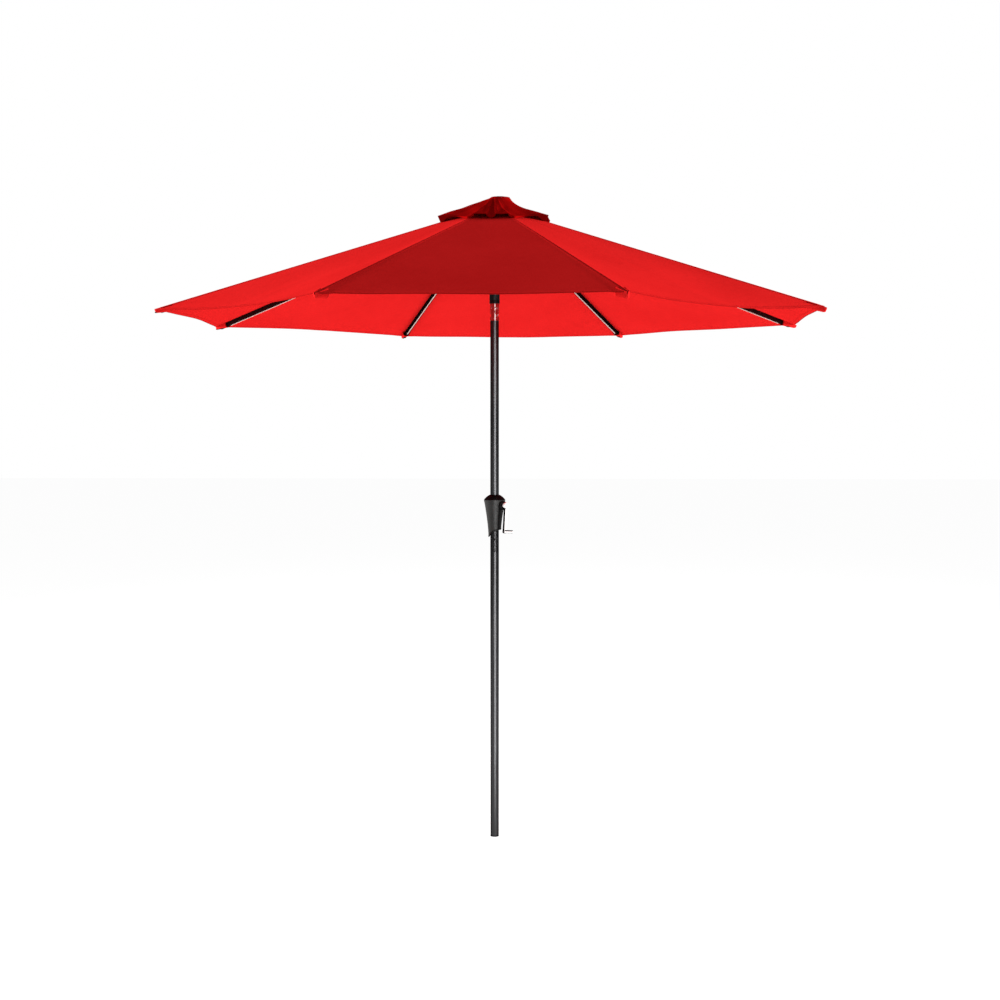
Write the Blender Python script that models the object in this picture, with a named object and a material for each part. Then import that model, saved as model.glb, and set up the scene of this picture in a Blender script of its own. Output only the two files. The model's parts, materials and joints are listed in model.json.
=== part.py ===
"""Octagonal market umbrella: crank-lifted canopy, push-button tilt, two-piece pole.

Metres, +Z up. The origin is the centre of the foot plug's underside, on the pole's axis.
Eight ribs stand at compass angles 22.5 + 45 k degrees, counted clockwise from +Y. The tilt button and
the snap button face -Y, and the crank's shaft points 36 degrees from +X towards -Y. The canopy is open
and upright.
"""
import math

import bmesh
import bpy
from mathutils import Matrix, Vector

# ---------------------------------------------------------------- driving dimensions
RIB_COUNT = 8
HALF_SECTOR = math.pi / RIB_COUNT
TOUCH_GAP = 0.0003               # left between pieces that touch on the real object
INSET = 0.00005                  # keeps the faces of united shapes out of one plane
ROUND = 32                       # sides of a turned piece, unless it states its own

POLE_RADIUS = 0.017
POLE_WALL = 0.0015
POLE_BORE = POLE_RADIUS - POLE_WALL
JOINT_HEIGHT = 1.138             # where the lower pole meets the middle pole
SPIGOT_LENGTH = 0.100
SPIGOT_RADIUS = POLE_BORE - TOUCH_GAP
SNAP_HEIGHT = 1.190

CRANK_HEIGHT = 1.3257
CRANK_SIDE = math.radians(-36)   # direction of the crank's shaft, counted from +X towards +Y
HOUSING_RIM = 1.346
DOME_TOP = 1.367
HOUSING_WALL = 0.0022
HOUSING_LIP_LOW = 1.1985         # the skirt's lower edge on the -X side
HOUSING_LIP_RISE = 0.0290        # how much higher that edge is on the +X side
HOUSING_FOOT_RADIUS = 0.0242
HOUSING_FLARE = 0.0182           # how much wider the skirt is at its rim
SHAFT_RADIUS = 0.005
DRUM_RADIUS = 0.0089
BOSS_FACE = 0.0470               # along the shaft, past the rim that the arm has to swing by
HUB_LENGTH = 0.0188
ARM_INNER = 0.0539               # along the shaft, at the hub
ARM_THICKNESS = 0.0098
ARM_LENGTH = 0.1036
ARM_LEAN = math.radians(4.6)     # the arm comes in towards the pole at its foot
GRIP_END = 0.0912

TILT_HEIGHT = 2.090
TILT_SECTION = (2.056, 2.128)    # the two knuckles' visible span
KNUCKLE_RADIUS = 0.0181
KNUCKLE_CHEEK = 0.0176           # radius of the rounded cheeks about the tilt axis
TONGUE_HALF = 0.0122
CHEEK_INNER = 0.0125

HUB_HEIGHT = 2.4834              # the ribs' pivots
PIVOT_RADIUS = 0.038             # of the wire rings in the hub and the runner
WIRE_RADIUS = 0.0014
HUB_TOP = 2.5364

RIB_SLOPE = math.radians(18.2)   # below level, canopy open
RIB_LENGTH = 1.3625              # hub pivot to the tip of the end cap
RIB_HALF_WIDTH = 0.006
RIB_HALF_HEIGHT = 0.009
TUBE_WALL = 0.0008
BRACKET_AT = 0.435               # along the rib, to the strut's pivot
BRACKET_DROP = 0.018             # that pivot below the rib's centre line
CAP_LENGTH = 0.030

STRUT_HALF_WIDTH = 0.005
STRUT_HALF_HEIGHT = 0.0075
STRUT_LENGTH = math.hypot(BRACKET_AT, BRACKET_DROP)
STRUT_SLOPE = RIB_SLOPE + math.atan2(BRACKET_DROP, BRACKET_AT)
RUNNER_HEIGHT = HUB_HEIGHT - 2 * STRUT_LENGTH * math.sin(STRUT_SLOPE)

CANOPY_RADIUS = 1.334            # pole axis to a canopy corner
OPENING_RADIUS = 0.130           # of the hole in the main canopy that the vent covers
CLOTH = 0.0016
CLOTH_RISE = 0.0107              # the cloth's underside above the rib's centre line
VENT_RADIUS = 0.235
VENT_FLAT_RADIUS = 0.016
VENT_RIM_HEIGHT = 2.457

CORD_RADIUS = 0.0015
PULLEY_PITCH = 0.01225           # radius of the cord's path over the pulley
PULLEY_HEIGHT = 2.5104


# ---------------------------------------------------------------- shared tools
def clear_scene():
    for obj in list(bpy.data.objects):
        bpy.data.objects.remove(obj, do_unlink=True)


def finish(name, colour, roughness, metallic=0.0):
    material = bpy.data.materials.new(name)
    material.use_nodes = True
    shader = material.node_tree.nodes["Principled BSDF"]
    shader.inputs["Base Color"].default_value = (*colour, 1.0)
    shader.inputs["Roughness"].default_value = roughness
    shader.inputs["Metallic"].default_value = metallic
    return material


def make_object(name, mesh_data, material=None, location=(0, 0, 0), rotation=(0, 0, 0)):
    """An object from a bmesh, whose faces are turned outwards, or from a finished mesh."""
    if isinstance(mesh_data, bmesh.types.BMesh):
        bmesh.ops.recalc_face_normals(mesh_data, faces=mesh_data.faces)
        mesh = bpy.data.meshes.new(name)
        mesh_data.to_mesh(mesh)
        mesh_data.free()
        mesh.shade_smooth()
        mesh.set_sharp_from_angle(angle=math.radians(35))
    else:
        mesh = mesh_data
    obj = bpy.data.objects.new(name, mesh)
    if material and not mesh.materials:
        mesh.materials.append(material)
    obj.location = location
    obj.rotation_euler = rotation
    bpy.context.scene.collection.objects.link(obj)
    return obj


def ring_faces(bm, loop_a, loop_b):
    """Joins two closed loops; a loop of one vertex is a point on the axis."""
    count = max(len(loop_a), len(loop_b))
    for i in range(count):
        j = (i + 1) % count
        corners = [loop_a[i % len(loop_a)], loop_a[j % len(loop_a)],
                   loop_b[j % len(loop_b)], loop_b[i % len(loop_b)]]
        unique = list(dict.fromkeys(corners))
        if len(unique) > 2:
            bm.faces.new(unique)


def turned(profile, segments=ROUND, axis="Z"):
    """A solid of revolution from a closed outline of (radius, height) points."""
    bm = bmesh.new()
    loops = []
    for radius, height in profile:
        if radius == 0:
            loops.append([bm.verts.new((0, 0, height))])
            continue
        angles = [2 * math.pi * i / segments for i in range(segments)]
        loops.append([bm.verts.new((radius * math.cos(a), radius * math.sin(a), height)) for a in angles])
    for a, b in zip(loops, loops[1:] + loops[:1]):
        if len(a) > 1 or len(b) > 1:
            ring_faces(bm, a, b)
    if axis == "X":
        bm.transform(Matrix.Rotation(math.pi / 2, 4, "Y"))
    if axis == "Y":
        bm.transform(Matrix.Rotation(-math.pi / 2, 4, "X"))
    return bm


def tube(outer, inner, low, high, segments=ROUND, axis="Z"):
    return turned([(inner, low), (outer, low), (outer, high), (inner, high)], segments, axis)


def prism(outline, low, high):
    """A closed outline of (x, z) points carried along Y from low to high."""
    bm = bmesh.new()
    near = [bm.verts.new((x, low, z)) for x, z in outline]
    far = [bm.verts.new((x, high, z)) for x, z in outline]
    ring_faces(bm, near, far)
    bm.faces.new(near)
    bm.faces.new(list(reversed(far)))
    return bm


def rod(radius, low, high, segments=16, axis="Z"):
    angles = [2 * math.pi * (i + 0.5) / segments for i in range(segments)]
    bm = prism([(radius * math.cos(a), radius * math.sin(a)) for a in angles], low, high)
    if axis == "X":
        bm.transform(Matrix.Rotation(-math.pi / 2, 4, "Z"))
    if axis == "Z":
        bm.transform(Matrix.Rotation(math.pi / 2, 4, "X"))
    return bm


def rounded_plate(radius, reach, low, high, steps=8):
    """A plate square to Y, rounded about the origin and straight from there to x = reach."""
    angles = [math.pi / 2 + math.pi * i / steps for i in range(steps + 1)]
    outline = [(radius * math.cos(a), radius * math.sin(a)) for a in angles]
    return prism(outline + [(reach, -radius), (reach, radius)], low, high)


def block(low, high):
    bm = bmesh.new()
    size = Vector(high) - Vector(low)
    centre = (Vector(high) + Vector(low)) / 2
    bmesh.ops.create_cube(bm, size=1, matrix=Matrix.Translation(centre) @ Matrix.Diagonal((*size, 1)))
    return bm


def stepped_bar(sections):
    """A bar along X from (x, half width, half height) sections; two at one x make a shoulder."""
    bm = bmesh.new()
    loops = []
    for x, half_y, half_z in sections:
        corners = [(-1, -1), (1, -1), (1, 1), (-1, 1)]
        loops.append([bm.verts.new((x, sy * half_y, sz * half_z)) for sy, sz in corners])
    for a, b in zip(loops, loops[1:]):
        ring_faces(bm, a, b)
    bm.faces.new(loops[0])
    bm.faces.new(list(reversed(loops[-1])))
    return bm


def shift(bm, offset):
    bm.transform(Matrix.Translation(offset))
    return bm


def carve(body, steps):
    """Unites with or cuts by each (operation, bmesh) in turn, in the body's own coordinates."""
    for operation, tool_mesh in steps:
        tool = make_object("tool", tool_mesh, None, body.location, body.rotation_euler)
        change = body.modifiers.new(operation, "BOOLEAN")
        change.operation = operation
        change.solver = "EXACT"
        change.object = tool
        bpy.context.view_layer.update()
        evaluated = body.evaluated_get(bpy.context.evaluated_depsgraph_get())
        mesh = bpy.data.meshes.new_from_object(evaluated)
        body.modifiers.clear()
        body.data = mesh
        bpy.data.objects.remove(tool, do_unlink=True)
    body.data.shade_smooth()
    body.data.set_sharp_from_angle(angle=math.radians(35))
    return body


def swept(path, radius, sides, closed=False):
    """A round wire along a list of points, kept square to it by carrying one normal along."""
    bm = bmesh.new()
    points = [Vector(p) for p in path]
    normal = None
    loops = []
    for i, point in enumerate(points):
        before = points[i - 1] if (i or closed) else point
        after = points[(i + 1) % len(points)] if (i + 1 < len(points) or closed) else point
        tangent = (after - before).normalized()
        if normal is None:
            normal = tangent.orthogonal()
        normal = (normal - tangent * normal.dot(tangent)).normalized()
        side = tangent.cross(normal)
        angles = [2 * math.pi * s / sides for s in range(sides)]
        ring = [point + radius * (math.cos(a) * normal + math.sin(a) * side) for a in angles]
        loops.append([bm.verts.new(place) for place in ring])
    for a, b in zip(loops, loops[1:]):
        ring_faces(bm, a, b)
    if closed:
        ring_faces(bm, loops[-1], loops[0])
    else:
        bm.faces.new(list(reversed(loops[0])))
        bm.faces.new(loops[-1])
    return bm


def helix(radius, pitch, turns, steps, axis):
    """Points of a coil round an axis, starting at its origin."""
    points = []
    for i in range(int(turns * steps) + 1):
        angle = 2 * math.pi * i / steps
        along = pitch * i / steps
        across, up = radius * math.cos(angle), radius * math.sin(angle)
        points.append((along, across, up) if axis == "X" else (across, along, up))
    return points


def ride_on(parent, children):
    """Parents each child without moving it."""
    bpy.context.view_layer.update()
    for child in children:
        child.parent = parent
        child.matrix_parent_inverse = parent.matrix_world.inverted()


# ---------------------------------------------------------------- pole
def make_pole(paint, plastic, spring_steel):
    foot = turned([(0, 0), (POLE_RADIUS - 0.0006, 0), (POLE_RADIUS, 0.0006), (POLE_RADIUS, 0.004),
                   (POLE_BORE - TOUCH_GAP, 0.004), (POLE_BORE - 0.0008, 0.040),
                   (POLE_BORE - 0.003, 0.040), (POLE_BORE - 0.003, 0.006), (0, 0.006)], 24)
    make_object("foot_plug", foot, plastic)

    def snap_hole():
        return "DIFFERENCE", shift(rod(0.0045, -0.025, -0.008, 14, "Y"), (0, 0, SNAP_HEIGHT))

    lower = turned([(POLE_BORE, 0.004 + TOUCH_GAP), (POLE_RADIUS, 0.004 + TOUCH_GAP),
                    (POLE_RADIUS, JOINT_HEIGHT), (SPIGOT_RADIUS, JOINT_HEIGHT),
                    (SPIGOT_RADIUS, JOINT_HEIGHT + SPIGOT_LENGTH),
                    (SPIGOT_RADIUS - POLE_WALL, JOINT_HEIGHT + SPIGOT_LENGTH),
                    (SPIGOT_RADIUS - POLE_WALL, JOINT_HEIGHT - 0.008), (POLE_BORE, JOINT_HEIGHT - 0.018)])
    carve(make_object("lower_pole", lower, paint), [snap_hole()])

    middle = tube(POLE_RADIUS, POLE_BORE, JOINT_HEIGHT + TOUCH_GAP, TILT_SECTION[0] - TOUCH_GAP)
    bush_hole = towards_crank(rod(0.0073, 0.010, 0.025, 18, "X"), CRANK_HEIGHT)
    shaft_hole = towards_crank(rod(SHAFT_RADIUS + TOUCH_GAP, -0.025, -0.010, 16, "X"), CRANK_HEIGHT)
    carve(make_object("middle_pole", middle, paint),
          [snap_hole(), ("DIFFERENCE", bush_hole), ("DIFFERENCE", shaft_hole)])

    button = turned([(0, -0.0195), (0.0025, -0.0191), (0.0040, -0.0178), (0.0040, -0.0125), (0, -0.0125)],
                    20, "Y")
    make_object("snap_button", button, spring_steel, (0, 0, SNAP_HEIGHT))
    make_snap_spring(spring_steel)


def make_snap_spring(spring_steel):
    """A folded leaf inside the spigot: one arm behind the button, one on the far wall."""
    arm, thickness, half_width, depth = 0.0122, 0.0007, 0.0035, 0.050
    steps = 8
    bend = [(-arm + arm * (1 - math.cos(math.pi * i / steps)), -depth - arm * math.sin(math.pi * i / steps))
            for i in range(steps + 1)]
    outer = [(-arm, 0.006)] + bend + [(arm, 0.006)]
    bm = bmesh.new()
    loops = []
    for y, z in outer:
        inwards = 1 - thickness / math.hypot(y, min(0, z + depth)) if z <= -depth else 1 - thickness / arm
        inner_y = y * inwards
        inner_z = -depth + (z + depth) * inwards if z < -depth else z
        corners = [(-half_width, y, z), (half_width, y, z), (half_width, inner_y, inner_z),
                   (-half_width, inner_y, inner_z)]
        loops.append([bm.verts.new(corner) for corner in corners])
    for a, b in zip(loops, loops[1:]):
        ring_faces(bm, a, b)
    bm.faces.new(loops[0])
    bm.faces.new(list(reversed(loops[-1])))
    make_object("snap_spring", bm, spring_steel, (0, 0, SNAP_HEIGHT))


# ---------------------------------------------------------------- crank
def housing_radius(height):
    """The flared skirt: wide at the rim, narrowing in a shallow curve to the pole."""
    drop = (HOUSING_RIM - height) / (HOUSING_RIM - HOUSING_LIP_LOW)
    return HOUSING_FOOT_RADIUS + HOUSING_FLARE * (1 - drop) ** 1.52


def lip_height(x):
    """The skirt's swept lower edge, low on -X, rising quickly and then level on +X."""
    across = min(1, max(0, 0.5 + x / (2 * HOUSING_FOOT_RADIUS)))
    return HOUSING_LIP_LOW + HOUSING_LIP_RISE * (1 - (1 - across) ** 2.3)


def make_housing(plastic):
    segments, rows = 32, 5
    bm = bmesh.new()

    def wall(inset):
        loops = []
        for row in range(rows + 1):
            loop = []
            for i in range(segments):
                angle = 2 * math.pi * i / segments
                low = lip_height(HOUSING_FOOT_RADIUS * math.cos(angle))
                height = low + (HOUSING_RIM - low) * row / rows
                radius = housing_radius(height) - inset
                loop.append(bm.verts.new((radius * math.cos(angle), radius * math.sin(angle), height)))
            loops.append(loop)
        return loops

    outer, inner = wall(0), wall(HOUSING_WALL)
    for skin in (outer, inner):
        for a, b in zip(skin, skin[1:]):
            ring_faces(bm, a, b)
    ring_faces(bm, outer[0], inner[0])
    ring_faces(bm, outer[-1], inner[-1])
    bmesh.ops.triangulate(bm, faces=bm.faces)
    shell = make_object("crank_housing", bm, plastic)
    web = tube(0.0315, POLE_RADIUS + TOUCH_GAP, 1.292, 1.296, 26)
    boss = towards_crank(rod(0.0180, 0.0310, BOSS_FACE, 24, "X"), CRANK_HEIGHT)
    bore = towards_crank(rod(SHAFT_RADIUS + TOUCH_GAP, 0.028, 0.055, 16, "X"), CRANK_HEIGHT)
    carve(shell, [("UNION", web), ("UNION", boss), ("DIFFERENCE", bore)])

    low = HOUSING_RIM + TOUCH_GAP
    rise, reach = DOME_TOP - low, HOUSING_FOOT_RADIUS + HOUSING_FLARE - 0.0180
    outside = dome_outline(reach, low, rise)
    inside = dome_outline(reach - 0.0026, low, rise - 0.0024)
    neck = [(POLE_RADIUS + TOUCH_GAP, DOME_TOP), (POLE_RADIUS + TOUCH_GAP, DOME_TOP - 0.0026)]
    make_object("housing_dome", turned(outside + neck + list(reversed(inside)), 28), plastic)


def dome_outline(reach, low, rise):
    """A shallow cone with a swelling side, from the rim up to the pole."""
    swell = 2 / 1.3
    arc = [math.radians(a) for a in (0, 20, 38, 54, 70, 88)]
    return [(0.0180 + reach * math.cos(a) ** swell, low + rise * math.sin(a) ** swell) for a in arc]


def towards_crank(bm, height=0.0):
    """Turns a shape that was built along +X to the crank's own direction, and lifts it."""
    bm.transform(Matrix.Translation((0, 0, height)) @ Matrix.Rotation(CRANK_SIDE, 4, "Z"))
    return bm


def make_crank(plastic, chrome, spring_steel):
    centre = (0, 0, CRANK_HEIGHT)
    bush = turned([(SHAFT_RADIUS + TOUCH_GAP, 0.0135), (0.0070, 0.0135), (0.0070, 0.0172),
                   (0.0088, 0.0172), (0.0088, 0.0190), (SHAFT_RADIUS + TOUCH_GAP, 0.0190)], 16, "X")
    make_object("crank_bush", towards_crank(bush), plastic, centre)
    coil = helix(0.0068, 0.0018, 4.5, 8, "X")
    coil = shift(swept(coil, 0.0008, 5), (0.0205, 0, 0))
    make_object("brake_spring", towards_crank(coil), spring_steel, centre)

    shaft = towards_crank(rod(SHAFT_RADIUS, -0.0185, BOSS_FACE + 0.0130, 24, "X"))
    shaft = make_object("crank_shaft", shaft, spring_steel, centre)
    spool = turned([(SHAFT_RADIUS + TOUCH_GAP, -0.0090), (0.0118, -0.0090), (0.0118, -0.0078),
                    (DRUM_RADIUS, -0.0070), (DRUM_RADIUS, 0.0070), (0.0118, 0.0078),
                    (0.0118, 0.0090), (SHAFT_RADIUS + TOUCH_GAP, 0.0090)], 20, "X")
    drum = make_object("cord_spool", towards_crank(spool), plastic, centre)

    arm = make_crank_arm(chrome)
    inner = ARM_INNER + ARM_THICKNESS - (ARM_LENGTH - 0.0060) * math.tan(ARM_LEAN) + 2 * TOUCH_GAP
    grip = turned([(0.0034, inner), (0.0054, inner), (0.0060, inner + 0.0015), (0.0058, inner + 0.009),
                   (0.0063, GRIP_END - 0.003), (0.0054, GRIP_END), (0.0034, GRIP_END)], 16, "X")
    handle = make_object("crank_grip", towards_crank(grip), chrome, (0, 0, CRANK_HEIGHT - ARM_LENGTH))
    ride_on(shaft, [drum, arm])
    ride_on(arm, [handle])


def make_crank_arm(chrome):
    """A hub with a domed end on the shaft, a leaning arm that tapers downwards, and the grip's pin."""
    low = BOSS_FACE + 0.0004
    hub = turned([(SHAFT_RADIUS + TOUCH_GAP, low), (0.0118, low), (0.0127, low + 0.001),
                  (0.0127, low + 0.0150), (0.0112, low + 0.0168), (0.0070, low + 0.0182),
                  (0, low + HUB_LENGTH), (0, low + 0.0130), (SHAFT_RADIUS + TOUCH_GAP, low + 0.0130)], 24, "X")
    arm = bmesh.new()
    loops = []
    stations = 6
    outline = [(-1, -0.6), (-0.7, -1), (0.7, -1), (1, -0.6), (1, 0.6), (0.7, 1), (-0.7, 1), (-1, 0.6)]
    for i in range(stations + 1):
        share = i / stations
        down = 0.0075 + (ARM_LENGTH - 0.0075) * share
        middle = ARM_INNER + ARM_THICKNESS / 2 - down * math.tan(ARM_LEAN)
        half_width = 0.0083 - 0.0013 * share
        section = [(middle + x * ARM_THICKNESS / 2, y * half_width, -down) for x, y in outline]
        loops.append([arm.verts.new(place) for place in section])
    for a, b in zip(loops, loops[1:]):
        ring_faces(arm, a, b)
    arm.faces.new(loops[0])
    arm.faces.new(list(reversed(loops[-1])))
    foot_inner = ARM_INNER - ARM_LENGTH * math.tan(ARM_LEAN)
    foot_outer = foot_inner + ARM_THICKNESS
    foot = shift(rod(0.0073, foot_inner + INSET, foot_outer - INSET, 24, "X"), (0, 0, -ARM_LENGTH))
    pin = shift(rod(0.0030, foot_inner + 0.003, GRIP_END - 0.0007, 16, "X"), (0, 0, -ARM_LENGTH))
    body = make_object("crank_arm", hub, chrome, (0, 0, CRANK_HEIGHT))
    carve(body, [("UNION", arm), ("UNION", foot), ("UNION", pin)])
    body.data.transform(Matrix.Rotation(CRANK_SIDE, 4, "Z"))
    return body


# ---------------------------------------------------------------- tilt joint
def knuckle_lug(direction, inner, outer):
    """A rounded lug about the tilt axis, cut to the knuckle's round outside, from y inner to y outer."""
    plate = rounded_plate(KNUCKLE_CHEEK, 0.022, inner, outer, 12)
    plate.transform(Matrix.Rotation(-direction * math.pi / 2, 4, "Y"))
    lug = make_object("lug", plate)
    carve(lug, [("INTERSECT", rod(KNUCKLE_RADIUS - 2 * INSET, -0.04, 0.04, 30))])
    bm = bmesh.new()
    bm.from_mesh(take_mesh(lug))
    return bm


def make_tilt_joint(red_metal, spring_steel, plastic):
    centre = (0, 0, TILT_HEIGHT)
    shoulder = 0.0188                # from the tilt axis to each knuckle's full round
    low, high = TILT_SECTION[0] - TILT_HEIGHT, TILT_SECTION[1] - TILT_HEIGHT

    def cord_hole():
        return "DIFFERENCE", shift(rod(0.0024, -0.09, 0.09, 16), (-0.0065, 0, 0))

    base = turned([(0, low - 0.046), (POLE_BORE - TOUCH_GAP, low - 0.046), (POLE_BORE - TOUCH_GAP, low),
                   (KNUCKLE_RADIUS, low), (KNUCKLE_RADIUS, -shoulder), (0, -shoulder)])
    base = make_object("tilt_base", base, red_metal, centre)
    button_bore = rod(0.0060, -0.030, -0.005, 18, "Y")
    pin_bore = rod(0.0033, 0.005, 0.030, 14, "Y")
    carve(base, [("UNION", knuckle_lug(-1, -KNUCKLE_RADIUS, -CHEEK_INNER)),
                 ("UNION", knuckle_lug(-1, CHEEK_INNER, KNUCKLE_RADIUS)),
                 ("DIFFERENCE", button_bore), ("DIFFERENCE", pin_bore), cord_hole()])

    top = turned([(0, shoulder), (KNUCKLE_RADIUS, shoulder), (KNUCKLE_RADIUS, high),
                  (POLE_BORE - TOUCH_GAP, high), (POLE_BORE - TOUCH_GAP, high + 0.042), (0, high + 0.042)])
    top = make_object("tilt_knuckle", top, red_metal, centre)
    spring_pocket = rod(0.0062, -0.030, -0.0045, 18, "Y")
    pin_bore = rod(0.0033, -0.010, 0.030, 14, "Y")
    carve(top, [("UNION", knuckle_lug(1, -TONGUE_HALF, TONGUE_HALF)),
                ("DIFFERENCE", spring_pocket), ("DIFFERENCE", pin_bore), cord_hole()])

    make_object("tilt_pin", rod(0.0030, -0.0040, 0.0174, 14, "Y"), spring_steel, centre)
    button = turned([(0, -0.0183), (0.0048, -0.0183), (0.0055, -0.0177), (0.0055, -0.0128), (0, -0.0128)],
                    24, "Y")
    make_object("tilt_button", button, plastic, centre)
    coil = helix(0.0048, 0.0016, 4, 8, "Y")
    make_object("tilt_spring", shift(swept(coil, 0.0006, 5), (0, -0.0118, 0)), spring_steel, centre)
    return top


# ---------------------------------------------------------------- hub, runner and cord
def rib_angles():
    """The ribs' directions, counted from +X towards +Y."""
    return [math.radians(90 - (22.5 + 360 / RIB_COUNT * k)) for k in range(RIB_COUNT)]


def slotted(body, height, slot_inner):
    """Cuts one radial slot for each rib or strut, and the groove for the wire ring."""
    low, high = height - 0.020, height + 0.020
    steps = []
    for angle in rib_angles():
        slot = block((slot_inner, -0.003, low), (0.060, 0.003, high))
        slot.transform(Matrix.Rotation(angle, 4, "Z"))
        steps.append(("DIFFERENCE", slot))
    groove = tube(PIVOT_RADIUS + 0.0020, PIVOT_RADIUS - 0.0020, height - 0.0018, height + 0.020)
    return carve(body, steps + [("DIFFERENCE", groove)])


def wire_ring(height):
    angles = [math.radians(9 * i) for i in range(40)]
    path = [(PIVOT_RADIUS * math.cos(a), PIVOT_RADIUS * math.sin(a), height) for a in angles]
    return swept(path, WIRE_RADIUS, 6, closed=True)


def make_hub(plastic, spring_steel, paint):
    sleeve, flange = 0.0215, 0.046
    flange_low, flange_high = HUB_HEIGHT - 0.011, HUB_HEIGHT + 0.011
    post, bore = 0.0285, POLE_RADIUS + TOUCH_GAP
    hub = turned([(bore, HUB_HEIGHT - 0.050), (sleeve, HUB_HEIGHT - 0.050), (sleeve, flange_low),
                  (flange, flange_low), (flange, flange_high), (post, flange_high), (post, HUB_TOP - 0.0065),
                  (VENT_FLAT_RADIUS, HUB_TOP - 0.003), (VENT_FLAT_RADIUS, HUB_TOP), (0.0040, HUB_TOP),
                  (0.0040, HUB_TOP + 0.005), (0, HUB_TOP + 0.005), (0, HUB_HEIGHT + 0.009),
                  (bore, HUB_HEIGHT + 0.009)])
    hub = make_object("top_hub", hub, plastic)
    slotted(hub, HUB_HEIGHT, 0.0300)
    room = block((-0.0040, -0.0050, HUB_HEIGHT + 0.006), (0.0040, 0.0272, HUB_TOP - 0.010))
    exit_hole = shift(rod(0.0025, flange_low - 0.01, flange_high + 0.01, 16), (0, 2 * PULLEY_PITCH, 0))
    pin_hole = shift(rod(0.0023, -0.0300, 0.0300, 16, "X"), (0, PULLEY_PITCH, PULLEY_HEIGHT))
    carve(hub, [("DIFFERENCE", room), ("DIFFERENCE", exit_hole), ("DIFFERENCE", pin_hole)])

    pole = make_object("upper_pole", tube(POLE_RADIUS, POLE_BORE, TILT_SECTION[1] + TOUCH_GAP,
                                          HUB_HEIGHT + 0.009 - TOUCH_GAP), paint)
    wire = make_object("hub_wire", wire_ring(HUB_HEIGHT), spring_steel)
    groove = PULLEY_PITCH - CORD_RADIUS - TOUCH_GAP
    rim = PULLEY_PITCH + 0.0010
    wheel = turned([(0.0024, -0.0034), (rim, -0.0034), (rim, -0.0026), (groove, -0.0012), (groove, 0.0012),
                    (rim, 0.0026), (rim, 0.0034), (0.0024, 0.0034)], 20, "X")
    pulley = make_object("cord_pulley", wheel, plastic, (0, PULLEY_PITCH, PULLEY_HEIGHT))
    pin = make_object("pulley_pin", rod(0.0020, -0.0240, 0.0240, 16, "X"), spring_steel,
                      (0, PULLEY_PITCH, PULLEY_HEIGHT))
    top = HUB_TOP + CLOTH + 2 * TOUCH_GAP
    nut = turned([(0.0043, top), (0.0100, top), (0.0100, top + 0.0016), (0.0078, top + 0.0046),
                  (0.0040, top + 0.0062), (0, top + 0.0066), (0, top + 0.0050), (0.0043, top + 0.0050)], 20)
    cap = make_object("cap_nut", nut, plastic)
    return [hub, pole, wire, pulley, pin, cap]


def make_runner(plastic, spring_steel):
    bore, sleeve, flange = 0.0187, 0.0203, 0.046
    low = RUNNER_HEIGHT - 0.0545
    profile = [(bore, low), (sleeve - 0.0005, low), (sleeve, low + 0.0005), (sleeve, low + 0.0125),
               (sleeve - 0.0005, low + 0.0130), (sleeve - 0.0005, low + 0.0145), (sleeve, low + 0.0150),
               (sleeve, RUNNER_HEIGHT - 0.009),
               (flange - 0.001, RUNNER_HEIGHT - 0.007), (flange, RUNNER_HEIGHT - 0.006),
               (flange, RUNNER_HEIGHT + 0.007), (0.0290, RUNNER_HEIGHT + 0.007),
               (0.0290, RUNNER_HEIGHT + 0.012), (bore, RUNNER_HEIGHT + 0.012)]
    runner = slotted(make_object("runner", turned(profile), plastic), RUNNER_HEIGHT, 0.0300)
    return [runner, make_object("runner_wire", wire_ring(RUNNER_HEIGHT), spring_steel)]


def make_lift_cord(braid):
    """From the spool up the inside of the pole, over the pulley and down outside it to the runner."""
    x = -0.0065
    off_drum = DRUM_RADIUS + CORD_RADIUS + TOUCH_GAP
    off_x, off_y = -0.0040, off_drum
    tangent_x = off_x * math.cos(CRANK_SIDE) - off_y * math.sin(CRANK_SIDE)
    tangent_y = off_x * math.sin(CRANK_SIDE) + off_y * math.cos(CRANK_SIDE)
    rising = [(tangent_x, tangent_y, CRANK_HEIGHT), (tangent_x, tangent_y, CRANK_HEIGHT + 0.010),
              (0.0008, 0.0092, CRANK_HEIGHT + 0.030), (-0.0026, 0.0052, CRANK_HEIGHT + 0.060),
              (-0.0056, 0.0016, CRANK_HEIGHT + 0.090), (x, 0, CRANK_HEIGHT + 0.130), (x, 0, 1.80),
              (x, 0, HUB_HEIGHT - 0.190), (x * 0.9, 0, HUB_HEIGHT - 0.130), (x * 0.5, 0, HUB_HEIGHT - 0.070),
              (x * 0.1, 0, HUB_HEIGHT - 0.020), (0, 0, HUB_HEIGHT + 0.010)]
    turns = 12
    over = [(0, PULLEY_PITCH * (1 - math.cos(math.pi * i / turns)),
             PULLEY_HEIGHT + PULLEY_PITCH * math.sin(math.pi * i / turns)) for i in range(turns + 1)]
    outer = 2 * PULLEY_PITCH
    falling = [(0, outer, HUB_HEIGHT + 0.010), (0, outer, HUB_HEIGHT - 0.090), (0, outer, HUB_HEIGHT - 0.190),
               (0, outer, RUNNER_HEIGHT + 0.0123)]
    return make_object("lift_cord", swept(rising + over + falling, CORD_RADIUS, 6), braid)


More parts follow.
